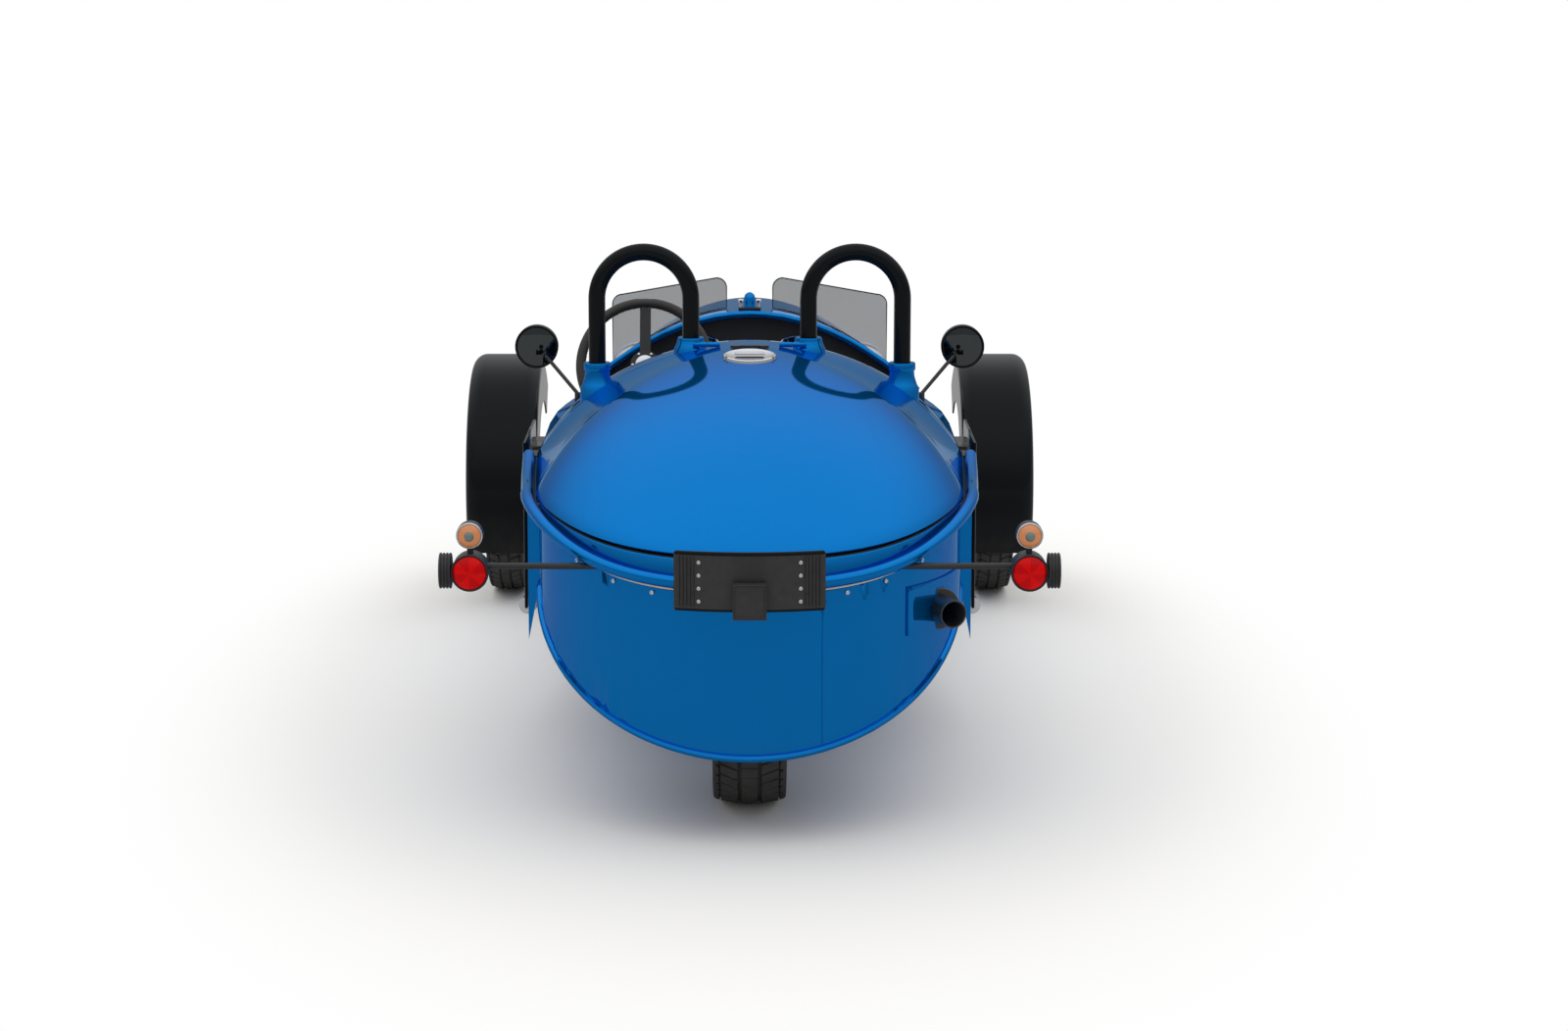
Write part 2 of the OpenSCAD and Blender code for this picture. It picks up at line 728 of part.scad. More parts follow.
back_t = 90;
back_h = 400;
back_in = 81;
back_lean = 12;
module seat_backs() {
    w = seat_out - seat_in;
    color("#202020")
        mirrored()
            translate([(seat_in + seat_out) / 2, cushion_back + back_in,
                cushion_top + seat_gap + back_t / 2 * sin(back_lean)])
                rotate([back_lean, 0, 0])
                    linear_extrude(back_h)
                        difference() {
                            square([w, back_t], center = true);
                            for (sx = [-1, 1], sy = [-1, 1])
                                translate([sx * w / 2, sy * back_t / 2]) rotate(45) square(seat_round, center = true);
                        }
}

// Steering wheel, its column and the gear lever
wheel_at = [-270, -20, 839];
steer_r = 166;
steer_tube = 11;
column_tilt = 20;
column_r = 17;
function column_z(y) = wheel_at[2] - (y - wheel_at[1]) * tan(column_tilt);
module on_column() {
    translate(wheel_at) rotate([90 - column_tilt, 0, 0]) children();
}

hub_r = 38;
hub_back = 18;
hub_h = 30;
spoke_w = 28;
spoke_t = 6;
module steering_wheel() {
    color("#181818")
        on_column() {
            rotate_extrude($fn = 72) translate([steer_r, 0]) circle(r = steer_tube, $fn = 24);
            translate([0, 0, -hub_back]) cylinder(r = hub_r, h = hub_h);
            for (a = [90, 210, 330])
                rotate(a)
                    translate([hub_r - spoke_t, -spoke_w / 2, -spoke_t])
                        cube([steer_r - hub_r, spoke_w, spoke_t]);
        }
}

column_l = 420;
module steering_column() {
    color("dimgray")
        on_column()
            translate([0, 0, -hub_back - seat_gap - column_l]) cylinder(r = column_r, h = column_l);
}

lever_y = 20;
lever_h = 300;
lever_r = 7;
lever_foot_r = 40;
lever_foot_h = 30;
knob_r = 22;
module gear_lever() {
    color("silver")
        translate([0, lever_y, floor_top(lever_foot_r) + facet_sag / 2]) {
            cylinder(r = lever_foot_r, h = lever_foot_h);
            cylinder(r = lever_r, h = lever_h);
            translate([0, 0, lever_h]) sphere(r = knob_r);
        }
}

// Tail lamps on rods under the rim
arm_in = 124;
arm_y = tail_cy - tail_r + arm_in;
arm_up = 10;
arm_z = lamp_z + arm_up;
lamp_l = 56;
lamp_wall = 4;
disc_t = 26;
disc_gap = 5;
disc_x = lamp_x + red_r + disc_gap + disc_t / 2;
marker_gap = 18;
marker_z = lamp_z + red_r + amber_r + marker_gap;
module outside_tail() {
    difference() {
        children();
        translate([0, tail_cy, 0]) cylinder(r = tail_r + seat_gap, h = far, $fn = 128);
    }
}

lens_t = 8;
module lamp_arms() {
    color("black")
        mirrored() {
            outside_tail() translate([disc_x / 2, arm_y, arm_z]) along_x(arm_r, disc_x);
            translate([lamp_x, arm_y, lamp_z]) along_y(red_r + lamp_wall, lamp_l);
            translate([lamp_x, arm_y, marker_z]) along_y(amber_r + lamp_wall, lamp_l / 2);
            translate([lamp_x, arm_y, lamp_z + red_r]) cylinder(r = arm_r, h = 2 * marker_gap);
            translate([disc_x, arm_y, lamp_z]) along_x(red_r, disc_t);
        }
}

module red_lenses() {
    color("red")
        mirrored()
            translate([lamp_x, arm_y - lamp_l / 2 - lens_t / 2 - seat_gap, lamp_z]) along_y(red_r, lens_t);
}

module amber_lenses() {
    color("orange")
        mirrored()
            translate([lamp_x, arm_y - lamp_l / 4 - lens_t / 2 - seat_gap, marker_z])
                along_y(amber_r, lens_t);
}

// Curved plate holder at the tail's end
holder_in = rim_out_r + seat_gap;
holder_t = 22;
block_w = 72;
block_drop = 16;
block_h = 80;
block_t = 14;
foot_up = 8;
foot_h = 32;
// Screw holes for a plate: distance apart, height above the holder's lower edge, radius
plate_bolts = 240;
plate_bolt_up = 36;
plate_bolt_r = 3.3;
module tail_sector(r0, r1, z0, z1, width) {
    a = 2 * asin(width / 2 / r1);
    translate([0, tail_cy, z0])
        rotate([0, 0, 270 - a / 2])
            rotate_extrude(angle = a, $fn = 128) translate([r0, 0]) square([r1 - r0, z1 - z0]);
}

module plate_holder() {
    block_low = plate_low - block_drop;
    foot_low = plate_low + foot_up;
    color("black")
        difference() {
            union() {
                tail_sector(holder_in, holder_in + holder_t, plate_low, plate_top, plate_w);
                tail_sector(holder_in + holder_t / 2, holder_in + holder_t + block_t,
                    block_low, block_low + block_h, block_w);
                tail_sector(tail_r + seat_gap, holder_in + eps, foot_low, foot_low + foot_h, plate_w / 2);
            }
            mirrored()
                translate([plate_bolts / 2, tail_cy - holder_in, plate_low + plate_bolt_up])
                    along_y(plate_bolt_r, 4 * holder_t);
        }
}

// Tailpipe out of the right of the tail wall
pipe_out = 150;
pipe_wall = 3;
pipe_depth = 60;
flange_out = 22;
flange_t = 8;
module tailpipe() {
    end_y = tail_cy - tail_r * sin(acos(pipe_x / tail_r)) - pipe_out;
    color("#151515")
        outside_tail()
            difference() {
                union() {
                    translate([pipe_x, end_y, pipe_z]) rotate([-90, 0, 0]) cylinder(r = pipe_r, h = -end_y + tail_cy);
                    intersection() {
                        translate([pipe_x, end_y + pipe_out, pipe_z]) along_y(pipe_r + flange_out, 2 * tail_r);
                        translate([0, tail_cy, 0]) cylinder(r = tail_r + flange_t, h = far, $fn = 128);
                        translate([0, -far, 0]) cube([tail_r - 2 * edge_bead_r, far + tail_cy, far]);
                    }
                }
                translate([pipe_x, end_y - eps, pipe_z]) rotate([-90, 0, 0]) cylinder(r = pipe_r - pipe_wall, h = pipe_depth);
            }
}

// Tube frame ahead of the hull
frame_ahead = 40;
frame_front = engine_y + case_l / 2 + frame_ahead;
pickup_y = 150;
tower_h = 150;
tower_out = 56;
tower_z = upper_arm_z + tower_h;
tower_x = rail_x + tower_out;
tower_arm_r = 14;
module front_frame() {
    color("#202020")
        union() {
            for (s = [-1, 1]) {
                for (z = [lower_arm_z, upper_arm_z])
                    rod([s * rail_x, hull_front + seat_gap, z], [s * rail_x, frame_front, z], frame_tube_r);
                for (y = [front_axle_y - pickup_y, front_axle_y + pickup_y, frame_front])
                    rod([s * rail_x, y, lower_arm_z], [s * rail_x, y, upper_arm_z], frame_tube_r);
            }
            for (s = [-1, 1]) {
                rod([s * rail_x, front_axle_y, upper_arm_z], [s * rail_x, front_axle_y, tower_z], frame_tube_r);
                rod([s * rail_x, front_axle_y, tower_z - frame_tube_r],
                    [s * (tower_x + tower_arm_r), front_axle_y, tower_z - frame_tube_r], tower_arm_r);
            }
            rod([-rail_x, frame_front, lower_arm_z], [rail_x, frame_front, lower_arm_z], frame_tube_r);
            rod([-rail_x, rack_y, lower_arm_z], [rail_x, rack_y, lower_arm_z], frame_tube_r);
        }
}

// Crankcase with its front and rear covers, mounting bars and cylinder spigots
spigot_h = 12;
spigot_in = 8;
stagger = 24;
cover_step = 30;
cover_l = 62;
nose_step = 50;
nose_l = 32;
mount_y = 80;
mount_r = 14;
module engine_case() {
    color("silver")
        translate([0, engine_y, crank_z]) {
            along_y(case_r, case_l);
            translate([0, -case_l / 2 - cover_l / 2 + eps, 0]) along_y(case_r - cover_step, cover_l);
            translate([0, case_l / 2 + nose_l / 2 - eps, 0]) along_y(case_r - nose_step, nose_l);
            for (s = [-1, 1])
                translate([0, s * mount_y, lower_arm_z - crank_z])
                    along_x(mount_r, 2 * (rail_x - frame_tube_r - seat_gap));
            for (s = [-1, 1])
                rotate([0, s * vee_half, 0])
                    translate([0, s * stagger, 0]) cylinder(r = fin_r - spigot_in, h = case_r + spigot_h);
        }
}

// Finned cylinders and heads, one leaning to each side
barrel_r = 50;
barrel_l = 250;
fin_t = 6;
head_r = 64;
head_h = 50;
port_stub = 20;
head_mid = case_r + spigot_h + barrel_l - head_h / 2;
port_z = crank_z + head_mid * cos(vee_half);
port_out = head_mid * sin(vee_half) + head_r + port_stub;
intake_up = 270;
intake_z = crank_z + intake_up;
inlet_in = 40;
module engine_cylinders() {
    pitch = (barrel_l - head_h - fin_t) / fin_count;
    inlet_out = intake_up * tan(vee_half);
    color("gray") {
        for (s = [-1, 1]) {
            translate([s * (head_mid * sin(vee_half) + port_out) / 2, engine_y, port_z])
                along_x(header_r, port_out - head_mid * sin(vee_half));
            translate([s * (inlet_in + inlet_out) / 2, engine_y, intake_z])
                along_x(intake_r, inlet_out - inlet_in);
        }
        translate([0, engine_y, crank_z])
            for (s = [-1, 1])
                rotate([0, s * vee_half, 0])
                    translate([0, s * stagger, case_r + spigot_h + seat_gap])
                        rotate_extrude()
                            union() {
                                square([barrel_r, barrel_l]);
                                for (k = [0:fin_count - 1])
                                    translate([0, fin_t + k * pitch]) square([fin_r, fin_t]);
                                translate([0, barrel_l - head_h]) square([head_r, head_h]);
                            }
    }
}

// Carburettor in the vee on a pipe that spans the cylinders
intake_r = 24;
throat_r = 34;
throat_l = 110;
filter_r = 52;
filter_l = 40;
module intake() {
    color("silver")
        translate([0, engine_y, intake_z]) {
            along_x(intake_r, 2 * (inlet_in - seat_gap));
            translate([0, -throat_l / 2, 0]) along_y(throat_r, throat_l);
            translate([0, -throat_l, 0]) along_y(filter_r, filter_l);
        }
}

// Exhaust pipes: out of the heads, down, then back along the hull sides to behind the shields
header_r = 21;
header_bend = 48;
header_low = crank_z;
collar_h = 16;
collar_wall = 3;
header_in = 40;
header_gap = 10;
header_end = shield_back + header_in;
header_end_x = shield_out - shield_t - header_r - header_gap;
module quarter_bend() {
    rotate_extrude(angle = 90) translate([header_bend, 0]) circle(r = header_r);
}

module exhaust_headers() {
    out_x = port_out + seat_gap;
    drop_x = out_x + header_bend;
    yaw = atan((header_end_x - drop_x) / (engine_y - header_end));
    run = (engine_y - header_end) / cos(yaw) - header_bend;
    color("silver")
        mirrored()
            translate([0, engine_y, 0]) {
                translate([out_x, 0, port_z - header_bend]) rotate([90, 0, 0]) quarter_bend();
                translate([drop_x, 0, header_low + header_bend])
                    cylinder(r = header_r, h = port_z - header_low - 2 * header_bend);
                translate([drop_x, 0, header_low + header_bend - collar_h / 2])
                    cylinder(r = header_r + collar_wall, h = collar_h);
                translate([drop_x, 0, 0])
                    rotate([0, 0, yaw]) {
                        translate([0, -header_bend, header_low + header_bend]) rotate([0, 90, 0]) quarter_bend();
                        translate([0, -header_bend, header_low]) rotate([90, 0, 0]) cylinder(r = header_r, h = run);
                    }
            }
}

headlamp_at = [330, 1290, 640];
headlamp_l = 130;
lamp_tail_r = 34;
lamp_ring = 6;
lamp_stem_r = 8;
lamp_foot_r = 15;
lamp_foot_h = 26;
module headlamps() {
    color("silver")
        mirrored() {
            translate(headlamp_at) {
                along_y(headlamp_r, headlamp_l / 2);
                translate([0, -headlamp_l / 4, 0])
                    rotate([90, 0, 0]) cylinder(r1 = headlamp_r, r2 = lamp_tail_r, h = headlamp_l / 2);
            }
            translate([rail_x, headlamp_at[1], upper_arm_z + frame_tube_r + seat_gap])
                cylinder(r = lamp_foot_r, h = lamp_foot_h);
            rod(headlamp_at - [0, 0, headlamp_r - lamp_stem_r],
                [rail_x, headlamp_at[1], upper_arm_z + frame_tube_r + lamp_foot_h / 2], lamp_stem_r);
        }
}

module headlamp_lenses() {
    color([0.9, 0.92, 0.95, 0.5])
        mirrored()
            translate(headlamp_at + [0, headlamp_l / 4 + lens_t / 2 + seat_gap, 0])
                along_y(headlamp_r - lamp_ring, lens_t);
}

// Double wishbones between the rails and the knuckles
arm_tube_r = 10;
boss_r = 24;
boss_h = 24;
arm_gap = 2.4;
arm_spread = pickup_y - 30;
// Where an arm enters its boss, inboard of and beside the boss's middle
arm_end_x = 15.8;
arm_end_y = 13.2;
damper_bar_l = 84;
module wishbones() {
    color("#202020")
        mirrored()
            for (z = [lower_arm_z, upper_arm_z]) {
                for (s = [-1, 1])
                    rod([rail_x + frame_tube_r + arm_gap, front_axle_y + s * arm_spread, z],
                        [kingpin_x - arm_end_x, front_axle_y + s * arm_end_y, z], arm_tube_r);
                translate([kingpin_x, front_axle_y, z]) cylinder(r = boss_r, h = boss_h, center = true);
                if (z == lower_arm_z)
                    translate([damper_foot_x, front_axle_y, z])
                        along_y(damper_bar_r, damper_bar_l);
            }
}

// Dampers from a cross bar on the lower wishbone up to the frame's tower
damper_r = 27;
damper_foot_in = 140;
damper_foot_x = kingpin_x - damper_foot_in;
damper_bar_r = 9;
damper_gap = 7.2;
damper_lift = 8;
damper_rod_r = 15;
// Shares of a damper's length where its spring starts and ends
spring_low = 0.15;
spring_high = 0.82;
module dampers() {
    low = [damper_foot_x, front_axle_y, lower_arm_z + damper_bar_r + damper_lift];
    high = [tower_x, front_axle_y, tower_z - 2 * frame_tube_r - damper_gap];
    at = function(share) low + (high - low) * share;
    color("gold")
        mirrored() {
            rod(low, high, damper_rod_r);
            rod(at(spring_low), at(spring_high), damper_r);
        }
}

rack_y = front_axle_y - steer_arm;
rack_r = 24;
rack_bar_r = 14;
rack_z = lower_arm_z + frame_tube_r + rack_r + seat_gap;
rack_half = 190;
rack_over = 80;
tie_r = 9;
tie_short = 12;
module rack_housing() {
    color("silver")
        translate([0, rack_y, rack_z])
            difference() {
                along_x(rack_r, 2 * rack_half);
                along_x(rack_bar_r + run_gap, 2 * rack_half + 2 * eps);
            }
}

module tie_rods() {
    color("gray") {
        translate([0, rack_y, rack_z]) along_x(rack_bar_r, 2 * (rack_half + rack_over));
        mirrored()
            rod([rack_half, rack_y, rack_z], [kingpin_x - tie_short, rack_y, rack_z], tie_r);
    }
}

// Knuckle: upright, stub axle, back plate, steering arm and the wing's stays
upright_r = 22;
plate_r = 84;
plate_t = 10;
stay_r = 7;
stay_angle = 40;
stay_gap = 1.5;
tyre_gap = 5;
stay_x = wheel_x - front_tyre_w / 2 - stay_r - tyre_gap;
steer_arm_r = 11;
eye_r = 16;
eye_h = 20;
eye_up = 34;
eye_in = 10;
eye_z = rack_z + eye_up;
eye_x = kingpin_x - eye_in;
module knuckle(right) {
    s = right ? 1 : -1;
    low = lower_arm_z + boss_h / 2 + seat_gap;
    high = upper_arm_z - boss_h / 2 - seat_gap;
    color("#303030")
        translate([0, front_axle_y, 0]) {
            translate([s * kingpin_x, 0, low]) cylinder(r = upright_r, h = high - low);
            translate([s * (kingpin_x + stub_l / 2), 0, front_tyre_r]) along_x(stub_r, stub_l);
            translate([s * stay_x, 0, front_tyre_r]) along_x(plate_r, plate_t);
            for (a = [-stay_angle, stay_angle])
                translate([s * stay_x, 0, front_tyre_r])
                    rotate([a, 0, 0])
                        translate([0, 0, plate_r - plate_t])
                            cylinder(r = stay_r, h = wing_r - wing_t - stay_gap - plate_r + plate_t);
            rod([s * kingpin_x, 0, eye_z], [s * eye_x, -steer_arm, eye_z], steer_arm_r);
            translate([s * eye_x, -steer_arm, eye_z]) cylinder(r = eye_r, h = eye_h, center = true);
        }
}

stub_over = 42;
stub_l = kingpin_in + stub_over;
module knuckle_left() {
    knuckle(false);
}

module knuckle_right() {
    knuckle(true);
}

// Cycle wing: flat-round top with a deep inner valance
// Turn about the axle, from straight down by way of the front, to the front end and the arc behind it
wing_start = 138;
wing_sweep = 158;
wing_lip = 40;
wing_shoulder = 40;
module wing(right) {
    s = right ? 1 : -1;
    w = wing_w / 2;
    color("black")
        translate([s * wheel_x, front_axle_y, front_tyre_r])
            mirror([right ? 0 : 1, 0, 0])
                turned_x(wing_start, wing_sweep)
                    difference() {
                        wing_section(w, wing_r, wing_shoulder, wing_valance, wing_lip);
                        wing_section(w - wing_t, wing_r - wing_t, wing_shoulder - wing_t, wing_w, wing_w);
                    }
}

// Half section of a wing: radius along X, width along Y, inner valance towards -Y
module wing_section(w, r, shoulder, valance, lip) {
    difference() {
        union() {
            translate([r - valance, -w]) square([valance, w]);
            translate([r - lip, 0]) square([lip, w]);
        }
        for (side = [-1, 1])
            translate([r - shoulder, side * (w - shoulder)])
                difference() {
                    translate([0, side > 0 ? 0 : -shoulder]) square(shoulder);
                    circle(r = shoulder);
                }
    }
}

module wing_left() {
    wing(false);
}

module wing_right() {
    wing(true);
}

// Wire wheel: rim, hub and two rows of crossed spokes
hub_l = 92;
hub_flange_r = 44;
flange_w = 12;
flange_in = 8;
hub_tube_r = 30;
rim_w = 78;
rim_t = 12;
// Turn of a spoke between hub and rim, and its rim end's distance from the wheel's middle
spoke_lead = 28;
spoke_end_x = 6;
spoke_bite = 6;
module wire_wheel(right) {
    s = right ? 1 : -1;
    color("silver")
        translate([s * wheel_x, front_axle_y, front_tyre_r])
            mirror([right ? 0 : 1, 0, 0])
                difference() {
                    union() {
                        turned_x() translate([front_rim_r - rim_t, -rim_w / 2]) square([rim_t, rim_w]);
                        along_x(hub_tube_r, hub_l);
                        for (e = [-1, 1])
                            translate([e * (hub_l / 2 - flange_in), 0, 0]) along_x(hub_flange_r, flange_w);
                        for (e = [-1, 1], k = [0:spoke_count - 1]) {
                            a = 360 * (k + (e > 0 ? 0.5 : 0)) / spoke_count;
                            b = a + (k % 2 == 0 ? spoke_lead : -spoke_lead);
                            near = hub_flange_r - spoke_bite;
                            out = front_rim_r - rim_t / 2;
                            rod([e * (hub_l / 2 - flange_in), near * cos(a), near * sin(a)],
                                [e * spoke_end_x, out * cos(b), out * sin(b)], spoke_r);
                        }
                    }
                    along_x(stub_r + run_gap, 2 * hub_l);
                }
}

module front_wheel_left() {
    wire_wheel(false);
}

module front_wheel_right() {
    wire_wheel(true);
}

// Tyre section: flat tread, round shoulders and sides down to the rim
// Shares of the tyre's width: radius of its round section, width at the rim
tyre_round = 0.62;
tyre_seat = 0.72;
module tyre_section(r, w, rim) {
    crown_r = w * tyre_round;
    intersection() {
        translate([rim + seat_gap, -w / 2]) square([r - rim - seat_gap, w]);
        union() {
            translate([r - crown_r, 0]) circle(r = crown_r, $fn = 64);
            translate([rim, -w * tyre_seat / 2]) square([(r - rim) / 2, w * tyre_seat]);
        }
    }
}

module front_tyre(right) {
    color("#1a1a1a")
        translate([(right ? 1 : -1) * wheel_x, front_axle_y, front_tyre_r])
            turned_x() tyre_section(front_tyre_r, front_tyre_w, front_rim_r);
}

module front_tyre_left() {
    front_tyre(false);
}

module front_tyre_right() {
    front_tyre(true);
}

// Rear swing arm, disc wheel and tyre
rear_axle_r = 12;
swing_gap = 8;
arm_half = rear_tyre_w / 2 + swing_gap;
swing_t = 6;
pivot_in = 250;
swing_h = 44;
swing_eye_r = 30;
module swing_arm() {
    color("#202020")
        translate([0, rear_axle_y, rear_tyre_r])
            union() {
                for (s = [-1, 1])
                    translate([s * (arm_half + eps), 0, 0])
                        rotate([90, 0, 90])
                            linear_extrude(swing_t, center = true)
                                union() {
                                    circle(r = swing_eye_r);
                                    translate([0, -swing_h / 2]) square([pivot_in, swing_h]);
                                    translate([pivot_in, 0]) circle(r = swing_h / 2);
                                }
                for (s = [-1, 1])
                    translate([s * (arm_half + slot_half_w - seat_gap) / 2, pivot_in, 0])
                        along_x(swing_h / 2, slot_half_w - seat_gap - arm_half);
                along_x(rear_axle_r, 2 * arm_half);
            }
}

rear_rim_w = 150;
rear_rim_t = 14;
web_t = 12;
web_in = 6;
rear_hub_r = 40;
rear_hub_in = 20;
web_hole_r = 32;
web_hole_at = 120;
module rear_wheel() {
    color("silver")
        translate([0, rear_axle_y, rear_tyre_r])
            difference() {
                union() {
                    turned_x()
                        translate([rear_rim_r - rear_rim_t, -rear_rim_w / 2]) square([rear_rim_t, rear_rim_w]);
                    along_x(rear_rim_r - web_in, web_t);
                    along_x(rear_hub_r, rear_rim_w - rear_hub_in);
                }
                along_x(rear_axle_r + run_gap, 2 * rear_rim_w);
                for (a = [0:60:300])
                    rotate([a, 0, 0]) translate([0, 0, web_hole_at]) along_x(web_hole_r, 2 * web_t);
            }
}

module rear_tyre() {
    color("#1a1a1a")
        translate([0, rear_axle_y, rear_tyre_r])
            turned_x() tyre_section(rear_tyre_r, rear_tyre_w, rear_rim_r);
}

hull_side_left();
hull_side_right();
hull_floor();
tail_wall();
tail_rim();
tail_lid();
lid_handle();
rear_bulkhead();
hoop_deck();
roll_hoops();
front_bulkhead();
scuttle();
nose_cowl();
dash_panel();
wheel_tunnel();
side_louvres();
side_shields();
fly_screens();
mirrors();
seat_cushions();
seat_backs();
steering_wheel();
steering_column();
gear_lever();
lamp_arms();
red_lenses();
amber_lenses();
plate_holder();
tailpipe();
front_frame();
engine_case();
engine_cylinders();
intake();
exhaust_headers();
headlamps();
headlamp_lenses();
wishbones();
dampers();
rack_housing();
tie_rods();
knuckle_left();
knuckle_right();
wing_left();
wing_right();
front_wheel_left();
front_wheel_right();
front_tyre_left();
front_tyre_right();
swing_arm();
rear_wheel();
rear_tyre();
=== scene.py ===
"""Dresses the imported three-wheeled roadster: paint, trim, tyres, padding, lamps and the studio around it."""

import json
import logging
import math
from collections.abc import Callable, Iterable, Iterator
from contextlib import contextmanager
from dataclasses import dataclass
from enum import Enum

import bpy
from mathutils import Matrix, Vector

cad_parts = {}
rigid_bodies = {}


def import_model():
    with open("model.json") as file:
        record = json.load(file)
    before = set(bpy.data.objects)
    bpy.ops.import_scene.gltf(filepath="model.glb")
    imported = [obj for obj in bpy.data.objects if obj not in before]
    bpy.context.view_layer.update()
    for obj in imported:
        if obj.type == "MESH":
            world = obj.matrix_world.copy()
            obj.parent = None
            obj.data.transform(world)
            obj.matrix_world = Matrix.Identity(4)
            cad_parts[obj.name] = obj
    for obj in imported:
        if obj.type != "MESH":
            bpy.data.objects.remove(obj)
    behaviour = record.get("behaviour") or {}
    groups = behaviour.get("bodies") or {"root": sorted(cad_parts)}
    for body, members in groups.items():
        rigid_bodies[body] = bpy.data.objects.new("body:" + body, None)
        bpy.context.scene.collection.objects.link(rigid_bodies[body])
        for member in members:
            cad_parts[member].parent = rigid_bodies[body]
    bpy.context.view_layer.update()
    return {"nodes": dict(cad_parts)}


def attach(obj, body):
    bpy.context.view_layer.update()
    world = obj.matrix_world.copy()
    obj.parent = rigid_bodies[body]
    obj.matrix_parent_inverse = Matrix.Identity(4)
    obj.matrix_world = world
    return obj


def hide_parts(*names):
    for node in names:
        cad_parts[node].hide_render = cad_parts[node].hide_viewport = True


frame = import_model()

LOG = logging.getLogger("roadster")
Colour = tuple[float, float, float]
Place = tuple[float, float, float]
Wire = tuple[bpy.types.Node, str | int, bpy.types.Node, str | int]
# Turns a lathed piece's axis from X to Z
UPRIGHT = Matrix.Rotation(-math.pi / 2, 4, "Y")


class Body(str, Enum):
    """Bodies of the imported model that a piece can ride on."""

    HULL = "body"
    LID = "tail_lid"
    STEERING = "steering_wheel"
    LEFT_WHEEL = "front_wheel_left"
    RIGHT_WHEEL = "front_wheel_right"
    REAR_WHEEL = "rear_wheel"


class Pick(Enum):
    """What a selection in edit mode is made of."""

    VERT = (True, False, False)
    EDGE = (False, True, False)
    FACE = (False, False, True)


class Side(Enum):
    """Side of the car, as the sign of X."""

    LEFT = -1
    RIGHT = 1


class Wires:
    """Short ways to add shader nodes and to join their sockets."""

    @staticmethod
    def add(tree: bpy.types.NodeTree, kind: str, values: dict[str | int, object] | None = None,
            **settings: object) -> bpy.types.Node:
        """Adds a node to a tree.

        Args:
            tree: The tree.
            kind: Type of the node, without its prefix.
            values: Input socket to its value.
            settings: Properties of the node.

        Returns:
            The node.
        """
        node = tree.nodes.new(f"ShaderNode{kind}")
        for label, value in settings.items():
            setattr(node, label, value)
        for label, value in (values or {}).items():
            node.inputs[label].default_value = value
        return node

    @staticmethod
    def join(tree: bpy.types.NodeTree, *wires: Wire) -> None:
        """Joins sockets of nodes.

        Args:
            tree: The tree that holds the nodes.
            wires: Each wire's first node and output, and its second node and input.
        """
        for start, leaving, end, entering in wires:
            tree.links.new(start.outputs[leaving], end.inputs[entering])


